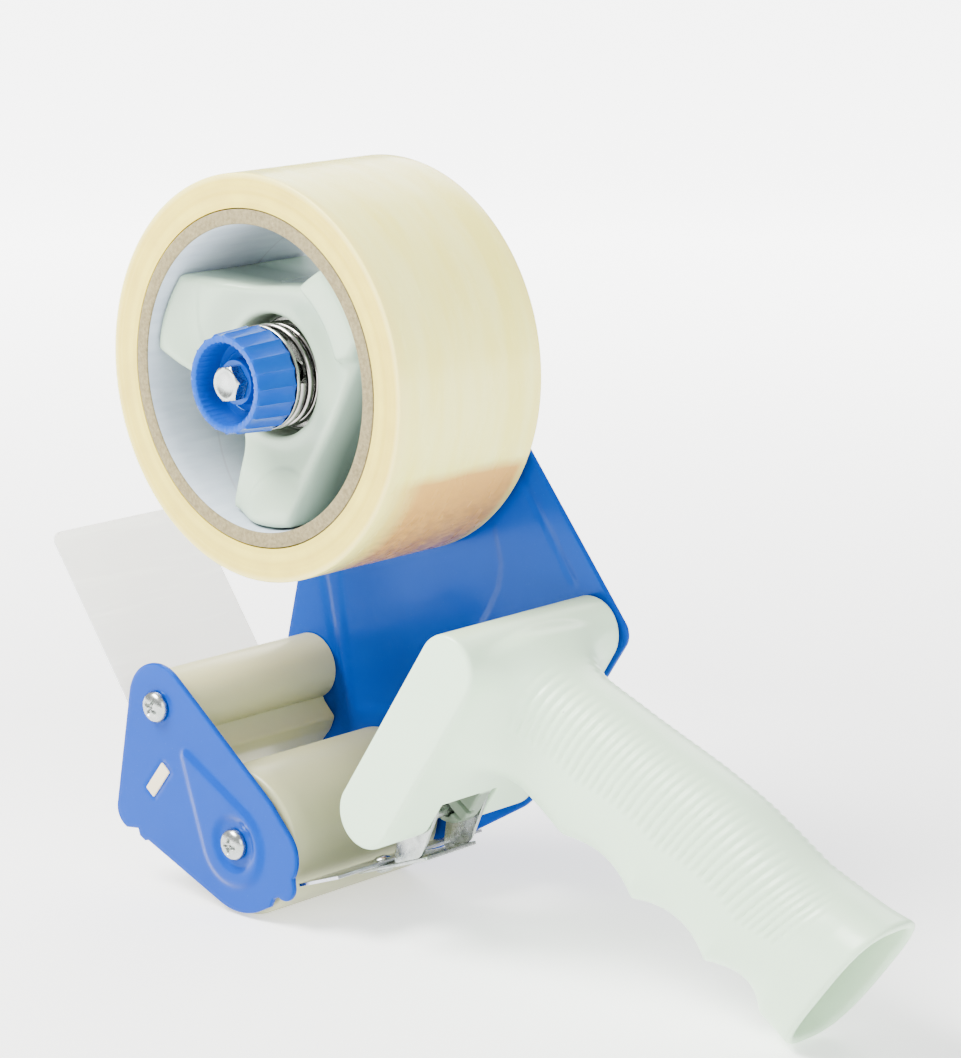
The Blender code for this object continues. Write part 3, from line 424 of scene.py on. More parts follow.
class Look:
    """A material's node tree with short ways to add nodes."""

    def __init__(self, name):
        self.material = bpy.data.materials.new(name)
        self.material.use_nodes = True
        self.nodes = self.material.node_tree.nodes
        self.links = self.material.node_tree.links
        self.shader = self.nodes["Principled BSDF"]
        self.place = self.nodes.new("ShaderNodeTexCoord").outputs["Object"]

    def link(self, value, socket):
        """Join another node's socket to this one, or set a plain number or colour on it."""
        if isinstance(value, bpy.types.NodeSocket):
            self.links.new(value, socket)
        elif isinstance(value, (tuple, list)) and len(value) == 3 and socket.type == "RGBA":
            socket.default_value = (*value, 1.0)
        else:
            socket.default_value = value

    def add(self, kind, inputs, **settings):
        """Add a node with its settings and its inputs, which go by name or number."""
        node = self.nodes.new("ShaderNode" + kind)
        for name, value in settings.items():
            setattr(node, name, value)
        for key, value in inputs.items():
            self.link(value, node.inputs[key])
        return node

    def set(self, **values):
        """Set or link the shader's own sockets."""
        for name, value in values.items():
            self.link(value, self.shader.inputs[name.replace("_", " ")])

    def maths(self, operation, a, b=0.0):
        return self.add("Math", {0: a, 1: b}, operation=operation).outputs[0]

    def noise(self, scale, detail=2.0, roughness=0.5, place=None):
        inputs = {"Vector": place or self.place, "Scale": scale, "Detail": detail, "Roughness": roughness}
        return self.add("TexNoise", inputs).outputs["Fac"]

    def cells(self, scale):
        return self.add("TexVoronoi", {"Vector": self.place, "Scale": scale}).outputs["Distance"]

    def stretch(self, x, y, z):
        return self.add("VectorMath", {0: self.place, 1: (x, y, z)}, operation="MULTIPLY").outputs[0]

    def levels(self, value, low, high, to_low=0.0, to_high=1.0):
        """Map a value from one range to another, and hold it there."""
        inputs = {"Value": value, "From Min": low, "From Max": high, "To Min": to_low, "To Max": to_high}
        return self.add("MapRange", inputs, clamp=True).outputs["Result"]

    def blend(self, factor, a, b):
        """Mix two colours."""
        node = self.add("Mix", {"Factor": factor}, data_type="RGBA")
        first, second = (socket for socket in node.inputs if socket.type == "RGBA")
        self.link(a, first)
        self.link(b, second)
        return next(socket for socket in node.outputs if socket.type == "RGBA")

    def parts(self):
        """The x, y and z of a place, in metres."""
        return tuple(self.add("SeparateXYZ", {0: self.place}).outputs)

    def about(self, axis):
        """The distance from an axis along Y, and the angle about it in turns."""
        x, _, z = self.parts()
        u = self.maths("SUBTRACT", x, axis[0] * MM + DRAWING_X)
        v = self.maths("SUBTRACT", z, axis[1] * MM)
        squares = self.maths("ADD", self.maths("MULTIPLY", u, u), self.maths("MULTIPLY", v, v))
        turn = self.maths("DIVIDE", self.maths("ARCTAN2", v, u), 2 * math.pi)
        return self.maths("SQRT", squares), turn

    def bump(self, height, strength, distance=0.0001):
        node = self.add("Bump", {"Strength": strength, "Distance": distance, "Height": height})
        self.link(node.outputs["Normal"], self.shader.inputs["Normal"])


def paint(name, colour, deep):
    """Glossy powder coat with a faint orange peel and a few dull specks."""
    look = Look(name)
    patches = look.levels(look.noise(28.0, 3.0), 0.35, 0.65)
    specks = look.levels(look.noise(2600.0, 1.0), 0.72, 0.80)
    tone = look.blend(patches, colour, deep)
    tone = look.blend(look.maths("MULTIPLY", specks, 0.15), tone, (0.08, 0.2, 0.6))
    rough = look.levels(look.noise(180.0, 4.0), 0.3, 0.7, 0.13, 0.24)
    look.set(Base_Color=tone, Roughness=rough, Specular_IOR_Level=0.28, Specular_Tint=(0.04, 0.30, 1.0))
    look.bump(look.noise(900.0, 2.0), 0.10)
    return look.material


def plastic(name, colour, shade, rough, grain=1500.0, specks=0.5, soft=0.0, tint=None, shade_by=None):
    """Moulded plastic with slight flow marks, a fine grain and a few dark specks, and painted shade where
    shade_by gives a mask.
    """
    look = Look(name)
    flow = look.levels(look.noise(22.0, 4.0, 0.6), 0.3, 0.7)
    tone = look.blend(flow, colour, shade)
    dots = look.cells(95.0)
    dirt = look.levels(dots, 0.030, 0.022)
    rare = look.levels(look.noise(60.0, 0.0), 0.60, 0.64)
    dirt = look.maths("MULTIPLY", look.maths("MULTIPLY", dirt, rare), specks)
    tone = look.blend(dirt, tone, (0.18, 0.17, 0.15))
    # Painted shade: the mask from shade_by darkens the tone towards a fifth of the shade colour.
    if shade_by:
        tone = look.blend(shade_by(look), tone, tuple(0.2 * part for part in shade))
    gloss = look.levels(look.noise(140.0, 4.0), 0.3, 0.7, rough - 0.015, rough + 0.03)
    look.set(Base_Color=tone, Roughness=gloss, Specular_IOR_Level=0.5)
    if tint:
        look.set(Specular_Tint=tint)
    if soft:
        look.set(Subsurface_Weight=soft, Subsurface_Radius=(1.0, 1.0, 0.8), Subsurface_Scale=0.0015)
    look.bump(look.noise(grain, 3.0), 0.06)
    return look.material


def notch_painted_shade(look):
    """Painted shade: 1 inside the handle's notch, where the plastic is darkened to stand in for the shade
    there.
    """
    x, y, z = look.parts()
    dx = look.maths("SUBTRACT", x, BLOCK[0] * MM + DRAWING_X)
    dz = look.maths("SUBTRACT", z, BLOCK[1] * MM)
    from_x = look.maths("MULTIPLY", dx, math.sin(LEAN))
    along = look.maths("ADD", from_x, look.maths("MULTIPLY", dz, math.cos(LEAN)))
    deep = look.levels(along, -0.0172, -0.0182, 0.0, 0.92)
    across = look.levels(look.maths("ABSOLUTE", look.maths("ADD", y, 0.0005)), 0.0100, 0.0096)
    return look.maths("MULTIPLY", deep, across)


def hub_painted_shade(look):
    """Painted shade: 1 on the hub's walls, down in the core and in the spring's recess, where the plastic is
    darkened to stand in for shade.
    """
    _, y, _ = look.parts()
    radius, _ = look.about(HUB)
    walls = look.levels(y, -0.0172, -0.008, 0.0, 0.72)
    front = look.levels(y, 0.010, 0.002)
    recess = look.levels(radius, 0.0154, 0.0150, 0.0, 0.75)
    inner = look.levels(y, -0.0178, -0.0150)
    return look.maths("MAXIMUM", look.maths("MULTIPLY", walls, front), look.maths("MULTIPLY", recess, inner))


def metal(name, colour, tint, rough, brushed=(1.0, 1.0, 1.0), grain=700.0, strength=0.07):
    """Plated metal: cloudy tint, fine scratches and uneven gloss."""
    look = Look(name)
    clouds = look.levels(look.noise(260.0, 4.0), 0.35, 0.65)
    lines = look.noise(grain, 3.0, 0.6, look.stretch(*brushed))
    tone = look.blend(clouds, colour, tint)
    gloss = look.levels(lines, 0.3, 0.7, rough - 0.06, rough + 0.08)
    look.set(Base_Color=tone, Roughness=gloss, Metallic=1.0)
    look.bump(lines, strength, 0.00005)
    return look.material


def tape_outside():
    """Wound film: ivory, turning a mottled tan where the last layers hold air."""
    look = Look("tape_outside")
    _, y, _ = look.parts()
    _, turn = look.about(HUB)
    wander = look.maths("MULTIPLY", look.maths("SUBTRACT", look.noise(35.0, 2.0), 0.5), 0.012)
    place = look.maths("ADD", turn, wander)
    below = look.levels(place, -0.062, -0.072)
    until = look.levels(place, -0.36, -0.30)
    deeper = look.levels(place, -0.075, -0.17)
    in_from_side = look.levels(y, -0.0245, -0.012)
    mask = look.maths("MULTIPLY", look.maths("MULTIPLY", below, until), in_from_side)
    bubbles = look.levels(look.noise(650.0, 4.0, 0.7, look.stretch(1.0, 0.45, 1.0)), 0.42, 0.58)
    cloud = look.levels(look.noise(110.0, 3.0), 0.35, 0.65)
    tan = look.blend(bubbles, (0.30, 0.12, 0.03), (0.62, 0.32, 0.08))
    mottled = look.maths("MULTIPLY", deeper, look.levels(cloud, 0.0, 1.0, 0.75, 1.0))
    tan = look.blend(mottled, (0.66, 0.36, 0.085), tan)
    layers = look.noise(26.0, 2.0, 0.5, look.stretch(1.0, 6.0, 1.0))
    ivory = look.blend(look.levels(layers, 0.35, 0.65), (0.93, 0.85, 0.20), (0.96, 0.92, 0.32))
    near_edge = look.levels(look.maths("ABSOLUTE", y), 0.0215, 0.0250)
    tone = look.blend(mask, ivory, tan)
    tone = look.blend(near_edge, tone, (0.93, 0.82, 0.25))
    rough = look.levels(look.noise(70.0, 3.0, 0.5, look.stretch(1.0, 3.0, 1.0)), 0.3, 0.7, 0.16, 0.34)
    look.set(Base_Color=tone, Roughness=rough, Specular_IOR_Level=0.28, Coat_Weight=0.08, Coat_Roughness=0.12)
    look.set(Subsurface_Weight=0.15, Subsurface_Radius=(1.0, 0.8, 0.5), Subsurface_Scale=0.003)
    waves = look.noise(60.0, 3.0, 0.5, look.stretch(1.0, 0.25, 1.0))
    look.bump(look.maths("ADD", waves, look.maths("MULTIPLY", bubbles, 0.12)), 0.16, 0.0004)
    return look.material


def tape_side():
    """The roll's sides: hundreds of edges of film in uneven cream bands."""
    look = Look("tape_side")
    radius, _ = look.about(HUB)
    across = look.add("CombineXYZ", {0: radius}).outputs[0]
    wobble = look.noise(120.0, 3.0, 0.5, look.stretch(1.0, 0.0, 1.0))
    rings = look.noise(2400.0, 3.0, 0.7, across)
    wide = look.noise(420.0, 2.0, 0.5, across)
    tone = look.blend(look.levels(wide, 0.35, 0.65), (0.70, 0.545, 0.05), (0.80, 0.665, 0.085))
    tone = look.blend(look.maths("MULTIPLY", look.levels(wobble, 0.4, 0.7), 0.5), tone, (0.60, 0.43, 0.055))
    rim = look.levels(radius, 0.0490, 0.0506)
    tone = look.blend(look.maths("MULTIPLY", rim, 0.75), tone, (0.90, 0.84, 0.36))
    look.set(Base_Color=tone, Roughness=look.levels(rings, 0.3, 0.7, 0.30, 0.48))
    look.set(Subsurface_Weight=0.2, Subsurface_Radius=(1.0, 0.8, 0.45), Subsurface_Scale=0.003)
    look.bump(rings, 0.22, 0.0001)
    return look.material


def cardboard_end():
    """The core's cut edge: grey board with dark flecks and faint plies."""
    look = Look("cardboard_end")
    fibres = look.levels(look.noise(1100.0, 4.0, 0.7), 0.3, 0.7)
    flecks = look.levels(look.noise(1900.0, 2.0, 0.6), 0.66, 0.74)
    tone = look.blend(fibres, (0.15, 0.12, 0.055), (0.28, 0.235, 0.12))
    tone = look.blend(look.maths("MULTIPLY", flecks, 0.7), tone, (0.14, 0.12, 0.11))
    look.set(Base_Color=tone, Roughness=0.9)
    look.bump(fibres, 0.5, 0.0002)
    return look.material


def core_paper():
    """The core's inside: pale lilac-grey paper with its spiral seam."""
    look = Look("core_paper")
    _, y, _ = look.parts()
    _, turn = look.about(HUB)
    wind = look.maths("FRACT", look.maths("ADD", turn, look.maths("DIVIDE", y, 0.075)))
    seam = look.levels(look.maths("ABSOLUTE", look.maths("SUBTRACT", wind, 0.5)), 0.006, 0.002)
    fibres = look.noise(500.0, 4.0, 0.6, look.stretch(1.0, 0.15, 1.0))
    tone = look.blend(look.levels(fibres, 0.3, 0.7), (0.44, 0.51, 0.59), (0.53, 0.60, 0.67))
    tone = look.blend(look.maths("MULTIPLY", seam, 0.45), tone, (0.36, 0.36, 0.42))
    look.set(Base_Color=tone, Roughness=look.levels(fibres, 0.3, 0.7, 0.5, 0.65))
    look.bump(look.maths("SUBTRACT", fibres, seam), 0.15, 0.0001)
    return look.material


def film():
    """Stiff clear film, a little milky, with fine handling scratches."""
    look = Look("clear_film")
    scratches = look.levels(look.noise(300.0, 3.0, 0.6, look.stretch(1.0, 0.08, 1.0)), 0.55, 0.75)
    haze = look.levels(look.noise(16.0, 2.0), 0.3, 0.7, 0.42, 0.50)
    look.set(Base_Color=look.blend(scratches, (0.80, 0.81, 0.83), (0.90, 0.91, 0.92)))
    look.set(Roughness=look.levels(scratches, 0.0, 1.0, 0.14, 0.30), Alpha=haze, IOR=1.49)
    look.bump(scratches, 0.05, 0.00005)
    return look.material


def felt():
    """Black pressed felt."""
    look = Look("felt")
    fibres = look.noise(1400.0, 5.0, 0.8)
    tone = look.blend(look.levels(fibres, 0.3, 0.7), (0.03, 0.03, 0.03), (0.09, 0.09, 0.09))
    look.set(Base_Color=tone, Roughness=0.95, Sheen_Weight=0.4)
    look.bump(fibres, 0.8, 0.0003)
    return look.material


BLUE_PAINT = paint("blue_paint", (0.0, 0.042, 0.315), (0.0, 0.038, 0.29))
BLUE_PLASTIC = plastic("blue_plastic", (0.0, 0.055, 0.37), (0.0, 0.048, 0.33), 0.20, specks=0.0,
                       tint=(0.05, 0.35, 1.0))
# The handle's plastic carries painted shade inside its notch.
HANDLE_PLASTIC = plastic("handle_plastic", (0.60, 0.80, 0.58), (0.58, 0.78, 0.56), 0.30, soft=0.06,
                         shade_by=notch_painted_shade)
# The hub's plastic carries painted shade on its walls and in its recesses.
HUB_PLASTIC = plastic("hub_plastic", (0.41, 0.53, 0.39), (0.39, 0.515, 0.375), 0.22, soft=0.03,
                      shade_by=hub_painted_shade)
ROLLER_PLASTIC = plastic("roller_plastic", (0.38, 0.385, 0.225), (0.36, 0.365, 0.21), 0.34, soft=0.04)
GUIDE_PLASTIC = plastic("guide_plastic", (0.52, 0.51, 0.30), (0.49, 0.48, 0.28), 0.30, soft=0.04)
TENON_PLASTIC = plastic("tenon_plastic", (0.80, 0.70, 0.48), (0.72, 0.62, 0.42), 0.45)
ZINC = metal("zinc", (0.46, 0.48, 0.47), (0.36, 0.39, 0.37), 0.25)
WASHER_ZINC = metal("washer_zinc", (0.36, 0.36, 0.34), (0.26, 0.27, 0.25), 0.24)
STRIP_STEEL = metal("strip_steel", (0.56, 0.58, 0.62), (0.48, 0.50, 0.54), 0.22, (1.0, 0.06, 1.0), 900.0)
SPRING_STEEL = metal("spring_steel", (0.42, 0.40, 0.38), (0.30, 0.29, 0.28), 0.14, grain=300.0, strength=0.05)
TAPE_OUTSIDE = tape_outside()
TAPE_SIDE = tape_side()
CARDBOARD_END = cardboard_end()
CORE_PAPER = core_paper()
FILM = film()
FELT = felt()


# ---------------------------------------------------------------- side plates

def capsule(point, a, ra, b, rb):
    """Signed distance to the belt round two circles."""
    (ax, az), (bx, bz) = a, b
    x, z = point
    dx, dz = bx - ax, bz - az
    length = math.hypot(dx, dz)
    ux, uz = dx / length, dz / length
    along = (x - ax) * ux + (z - az) * uz
    across = abs(-(x - ax) * uz + (z - az) * ux)
    slope = (ra - rb) / length
    root = math.sqrt(1 - slope * slope)
    k = -slope * across + root * along
    if k < 0:
        return math.hypot(along, across) - ra
    if k > root * length:
        return math.hypot(along - length, across) - rb
    return across * root + along * slope - ra


def small_emboss(x, z):
    """How far the small plate is pressed out: a teardrop round the sunk seat of the axle screw."""
    drop = capsule((x, z), (-73.9, 38.2), 2.5, (-57.2, 18.6), 11.9)
    pressed = 0.85 * float(ramp(-drop, 0.0, 2.3))
    seat = math.hypot(x - AXLE[0], z - AXLE[1])
    return pressed * float(ramp(seat, 5.6, 8.0))


FRONT_GROOVE = [(-82.6, 84.0), (-79.2, 70.0), (-72.0, 36.0)]
PANEL = [
    (-75.5, 84.0), (-73.6, 66.0), (-70.2, 42.5), (-68.5, 40.6), (-61.0, 41.8), (-50.0, 43.5),
    (-36.0, 52.0), (-27.0, 66.0), (-20.5, 75.5), (-17.4, 82.0), (-16.4, 88.0), (-18.6, 97.0), (-23.0, 104.0),
    (-40.0, 100.0),
]
REAR_CREASE = [(-21.0, 127.0), (-10.7, 112.9), (1.0, 97.2), (7.8, 87.7)]


def large_emboss(x, z):
    """How far the large plate is pressed out, away from the tape."""
    point = np.array([[x, z]])
    groove = 0.55 * (1 - float(ramp(distance_to(point, FRONT_GROOVE, closed=False)[0], 0.5, 1.9)))
    edge = distance_to(point, PANEL)[0] * (1 if inside(point, PANEL)[0] else -1)
    panel = 0.45 * float(ramp(edge, -0.4, 0.9))
    crease = 0.35 * (1 - float(ramp(distance_to(point, REAR_CREASE, closed=False)[0], 0.2, 1.1)))
    return max(groove, panel, crease)


# The guide's tenon, the circles that the plates' outlines run round, and the tab below the roller.
TENON_MIDDLE = Vector((-84.7, 30.0))
TENON_SLOPE = math.radians(51.9)
TENON_SIZE = (10.0, 3.5)
FRONT_CIRCLES = [(*GUIDE, 11.2), (*ROLLER, 18.1), (-43.0, 19.0, 8.8), (-95.8, 19.5, 5.4)]
REAR_CIRCLES = [(*HUB, 22.2), (20.3, 76.8, 5.0), (-16.8, 37.5, 14.0)]
TAB_ROOT = [(-43.9, 5.0), (-42.6, 7.4)]
TAB_MIDDLE, TAB_RADIUS = (-39.0, 11.5), 3.8
SCREW_HOLE = 2.25


def tenon_outline(grow):
    """The guide's tenon, grown on every side."""
    along = Vector((math.cos(TENON_SLOPE), math.sin(TENON_SLOPE))) * (TENON_SIZE[0] / 2 + grow)
    across = Vector((-math.sin(TENON_SLOPE), math.cos(TENON_SLOPE))) * (TENON_SIZE[1] / 2 + grow)
    corners = (-along - across, along - across, along + across, across - along)
    return [tuple(TENON_MIDDLE + corner) for corner in corners]


def replaced(outline, stretch, points):
    """The outline with one stretch of it, which a test picks out, replaced by other points."""
    result = []
    added = False
    for x, z in outline:
        if not stretch(x, z):
            result.append((x, z))
        elif not added:
            result += points
            added = True
    return result


def small_outline():
    """The belt round the front circles, with its guard tab and the small nicks in its lower edge."""
    tab = TAB_ROOT + arc(TAB_MIDDLE, TAB_RADIUS, -122, 15, 12) + [(-35.6, 14.4)]
    outline = replaced(counter_clockwise(belt(FRONT_CIRCLES)), lambda x, z: x > -47.0 and z < 13.6, tab)
    nick = [(-93.2, 15.0), (-92.6, 13.2), (-90.6, 12.2), (-89.4, 12.6)]
    keep = [p for p in outline if math.hypot(p[0] + 91.2, p[1] - 13.9) > 2.6]
    at = min(range(len(keep)), key=lambda i: math.hypot(keep[i][0] + 94.5, keep[i][1] - 14.9))
    return divided(keep[:at + 1] + nick + keep[at + 1:], 0.9)


def large_outline():
    """The belt round all the circles, with its guard tab and the bay for the blade's lever."""
    bay = TAB_ROOT + arc(TAB_MIDDLE, TAB_RADIUS, -122, -10, 10)
    bay += [(-34.2, 17.1), (-32.6, 18.9), (-23.0, 20.9), (-13.5, 23.1)]
    outline = counter_clockwise(belt(FRONT_CIRCLES + REAR_CIRCLES))
    return divided(replaced(outline, lambda x, z: -46.0 < x < -13.5 and z < 24.5, bay), 1.2)


def round_hole(axis, radius, steps=32):
    """A circle's outline."""
    return arc(axis, radius, 0, 360 - 360 / steps, steps - 1)


def build_plates():
    holes = [round_hole(GUIDE, SCREW_HOLE), round_hole(AXLE, SCREW_HOLE)]
    holes.append(divided(soften(tenon_outline(0.3), 0.5), 1.0))

    def small_place(u, v, w):
        return (u, -PLATE_OUTER + w - small_emboss(u, v), v)

    skin = sheet(small_outline(), holes, PLATE_THICKNESS, 0.45, 0.85, small_place)
    piece("small_plate", skin, [BLUE_PAINT], "frame", ["side_plate_small"], 40)

    def large_place(u, v, w):
        return (u, PLATE_INNER + w + large_emboss(u, v), v)

    for along in (20.0, -13.0):
        middle = (BLOCK[0] + along * math.sin(LEAN), BLOCK[1] + along * math.cos(LEAN))
        holes.append(round_hole(middle, SCREW_HOLE))
    holes.append(round_hole(HUB, 4.2))
    skin = sheet(large_outline(), holes, PLATE_THICKNESS, 0.45, 1.1, large_place)
    piece("large_plate", skin, [BLUE_PAINT], "frame", ["side_plate_large"], 40)


# ---------------------------------------------------------------- screws, bolt, nut

def screw_mesh(axis, side, slope):
    """A pan-head screw with a cross recess; side is -1 on the near plate and 1 on the far plate."""
    seat = PLATE_OUTER + 0.3
    crown, recess = 2.1, 1.25
    profile = [(0.0, 2.5), (0.3, 2.5), (0.6, 2.49), (0.9, 2.48), (1.2, 2.45), (1.5, 2.42), (1.8, 2.37),
               (2.1, 2.3), (2.4, 2.22), (2.8, 2.08), (3.2, 1.88), (3.6, 1.58), (3.9, 1.2), (4.05, 0.75),
               (4.1, 0.4), (4.05, 0.0), (1.95, 0.0), (1.95, -12.2), (1.2, -13.6), (0.0, -13.7)]

    def shape(radius, height, angle):
        if height > crown:
            turn = (angle - slope) % (math.pi / 2) - math.pi / 4
            off = radius * math.sin(math.pi / 4 - abs(turn))
            wing = (1 - float(ramp(off, 0.32, 0.52))) * (1 - float(ramp(radius, 1.95, 2.35)))
            well = 1 - float(ramp(radius, 0.6, 1.1))
            height -= recess * max(wing * (1 - 0.22 * radius), well)
        return radius, side * (seat + height)

    return turned(profile, axis, 96, shape=shape)


def build_screws():
    for i, name in enumerate(("guide_screw_near", "axle_screw_near", "guide_screw_far", "axle_screw_far",
                              "handle_screw_upper", "handle_screw_lower")):
        side = -1 if name.endswith("near") else 1
        skin = screw_mesh(node_axis(name), side, math.radians(62 + 23 * i))
        piece(name + "_fine", skin, [ZINC], "frame", [name], 30)


def six_sided(half_width, slope, beyond):
    """A shape for turned that cuts what lies beyond a radius to a hexagon."""
    def shape(radius, y, angle):
        turn = (angle - slope) % (math.pi / 3) - math.pi / 6
        return (min(radius, half_width / math.cos(turn)) if radius > beyond else radius), y
    return shape


def build_bolt_and_nut():
    bolt = [(0.0, -33.45), (1.2, -33.47), (2.3, -33.55), (2.9, -33.75), (3.3, -33.9), (4.0, -33.88),
            (4.15, -33.8), (4.45, -33.66), (4.8, -33.45), (4.8, -30.7), (2.42, -30.7), (2.42, 4.6),
            (2.0, 5.0), (0.0, 5.0)]
    skin = turned(bolt, HUB, 120, shape=six_sided(4.1, math.radians(10), 3.3))
    piece("hex_bolt", skin, [ZINC], "tension_knob", ["axle_bolt"], 28)
    nut = [(4.2, 28.9), (6.9, 28.9), (7.3, 29.3), (7.3, 32.6), (6.9, 33.0), (6.3, 33.2), (4.5, 33.2),
           (4.2, 32.9)]
    skin = turned(nut, HUB, 120, closed=True, shape=six_sided(6.32, 0.0, 5.9))
    piece("far_nut", skin, [ZINC], "frame", ["post_nut"], 28)


# ---------------------------------------------------------------- guide, roller

def build_guide():
    outline = arc(GUIDE, 8.8, -63.7, 244, 48)
    outline += soften([(-88.2, 40.6), (-88.0, 36.8), (-92.8, 29.9), (-88.4, 24.6), (-84.5, 25.0),
                       (-77.6, 33.4), (-76.1, 36.9), (-79.8, 40.6)], 0.9, closed=False)
    skin = slab(outline, -BETWEEN, BETWEEN, 0.4)
    piece("guide_bar", skin, [GUIDE_PLASTIC], "frame", ["guide_block"], 32)
    for label, side in (("near", -1), ("far", 1)):
        low, high = sorted((side * (BETWEEN - 1.0), side * (PLATE_OUTER + 0.4)))
        skin = slab(soften(tenon_outline(0.0), 0.45), low, high, 0.2)
        piece("guide_tenon_" + label, skin, [TENON_PLASTIC], "frame")


def build_roller():
    radius = 19.05
    rim = [(16.35, -25.7), (16.6, -26.0), (18.0, -26.0), (18.5, -25.85), (18.85, -25.5), (radius, -25.0)]
    profile = rim + [(radius, y) for y in np.linspace(-20, 20, 9)] + mirrored(rim)
    skin = turned(profile, ROLLER, 160, closed=True)
    piece("roller_tube", skin, [ROLLER_PLASTIC], "roller", ["roller_sleeve"], 30)
    bush = [(3.56, 19.0), (3.56, 24.4), (3.8, 24.6), (6.6, 24.6), (6.9, 24.3), (7.0, 23.0), (8.0, 22.4),
            (14.2, 22.4), (15.0, 23.0), (15.2, 23.7), (15.5, 24.0), (16.05, 24.0), (16.05, 19.0)]
    for label, side in (("near", -1), ("far", 1)):
        skin = turned([(r, side * y) for r, y in bush], ROLLER, 96, closed=True)
        piece("roller_disc_" + label, skin, [ROLLER_PLASTIC], "roller", ["roller_bush_" + label],
              30)


# ---------------------------------------------------------------- tape and core

def within_radius(limit):
    """A test for piece: the second material where a face is nearer to the hub's axis than the limit."""
    return lambda x, z: 1 if math.hypot(x - HUB[0], z - HUB[1]) < limit else 0


def build_tape():
    rng = np.random.default_rng(7)
    radii = np.linspace(42.1, 50.0, 34)
    wobble = np.convolve(rng.normal(0, 0.05, 36), np.ones(3) / 3, "valid")
    side = [(float(r), -25.0 + abs(float(w))) for r, w in zip(radii, wobble)]
    side += [(50.35, -24.93), (50.55, -24.75), (50.6, -24.5)]
    across = [(50.6, float(y)) for y in np.linspace(-22, 22, 12)]
    skin = turned(side + across + mirrored(side), HUB, 224, closed=True)
    piece("tape_wound", skin, [TAPE_OUTSIDE, TAPE_SIDE], "tape_reel", ["tape_roll"], 50,
          within_radius(50.3))
    ring = [(38.1, -24.8), (38.3, -25.1), (38.7, -25.2), (41.3, -25.2), (41.7, -25.1), (41.8, -24.8)]
    inner = [(38.1, float(y)) for y in np.linspace(20, -20, 9)]
    skin = turned(ring + mirrored(ring) + inner, HUB, 192, closed=True)
    piece("core_tube", skin, [CARDBOARD_END, CORE_PAPER], "tape_reel", ["tape_core"], 40,
          within_radius(38.15))


# ---------------------------------------------------------------- hub

# Along the hub's axis: its near face, the raised pad on the upper arm, and its rear. Then two radii.
HUB_FACE = -17.6
HUB_PAD = -23.6
HUB_REAR = 25.1
HUB_RECESS = 15.2
HUB_BORE = 5.98


def hub_outline(scale=1.0, reach=37.6):
    """The hub's three unlike arms, as offsets from its axis."""
    middle = (0.0, 0.0)
    above = [(18.3, 26.6), (12.4, 23.6), (-6.0, 21.6), (-28.5, 22.4)]
    front = [(-38.4, 2.4), (-27.1, -1.8), (-13.5, -9.0), (-10.2, -20.7), (-13.1, -30.6), (-14.2, -34.8)]
    rear = [(8.9, -36.5), (12.7, -24.6), (15.5, -18.6), (35.1, 13.4)]
    points = arc(middle, reach, 21, 53, 12) + soften(above, 3.5, closed=False)[1:]
    points += arc(middle, reach, 144, 176, 12) + soften(front, 3.5, closed=False)[1:-1]
    points += arc(middle, reach, 248.5, 284, 12) + soften(rear, 5.0, closed=False)[1:-1]
    return [(scale * x, scale * z) for x, z in points]


def outline_field(points, outline):
    """Signed distance from 2-D points to an outline."""
    field = distance_to(points, outline)
    return np.where(inside(points, outline), -field, field)


def hub_face(u, v):
    """The y of the hub's near face at offsets from its axis."""
    r = np.hypot(u, v)
    angle = np.degrees(np.arctan2(v, u)) % 360
    face = HUB_FACE - 1.9 * ramp(r, 17.0, 27.0)
    front = ramp(angle, 118, 136) * (1 - ramp(angle, 196, 212))
    crease = -(u + 24.9 - 0.025 * (v - 14.0) ** 2)
    face = face - front * (0.35 * ramp(crease, -0.4, 0.5) + 2.6 * ramp(crease, 0.0, 13.0))
    lower = ramp(angle, 232, 243) * (1 - ramp(angle, 290, 300))
    bend = -(v + 25.2 + 0.045 * (u - 4.0) ** 2 - 0.2 * (u + 9.0))
    face = face - lower * (0.35 * ramp(bend, -0.4, 0.5) + 2.6 * ramp(bend, 0.0, 12.0))
    pad = ramp(angle, 12, 17) * (1 - ramp(angle, 58, 64))
    ridge = pad * ramp(r, 25.2, 28.6)
    crown = 0.7 * ((r - 32.0) / 6.0) ** 2
    face = face * (1 - ridge) + (HUB_PAD + np.clip(crown, 0, 1.2)) * ridge
    lip = 1 - ramp(np.abs(r - 16.4), 0.0, 1.2)
    return face - 0.25 * lip


def build_hub():
    step, reach, near_side = 0.6, 40.2, -26.4
    xs = np.arange(-reach, reach + 0.1, step)
    ys = np.arange(near_side, 27.0, step)
    u2, v2 = np.meshgrid(xs, xs, indexing="ij")
    flat = np.stack([u2.ravel(), v2.ravel()], axis=1)
    plan = outline_field(flat, hub_outline()).reshape(u2.shape)[:, None, :]
    pocket = outline_field(flat, hub_outline(0.86)).reshape(u2.shape)[:, None, :]
    r = np.hypot(u2, v2)[:, None, :]
    near = hub_face(u2, v2)[:, None, :]
    y = ys[None, :, None]
    body = cut_back(plan + 0 * y, (near - y) * 0.93, 2.2)
    body = cut_back(body, y - HUB_REAR, 0.8)
    hollow = np.maximum(np.maximum(pocket, 15.6 - r), -5.5 - y)
    body = cut_back(body, -hollow, 0.6)
    recess = np.maximum(r - HUB_RECESS, y + 9.0)
    body = cut_back(body, -recess, 0.9)
    body = np.maximum(body, HUB_BORE - r)
    skin = surface(body, (HUB[0] - reach, near_side, HUB[1] - reach), step)
    piece("hub_moulding", skin, [HUB_PLASTIC], "tape_reel", ["tape_hub"], 48, closed=False)


# ---------------------------------------------------------------- brake stack and knob


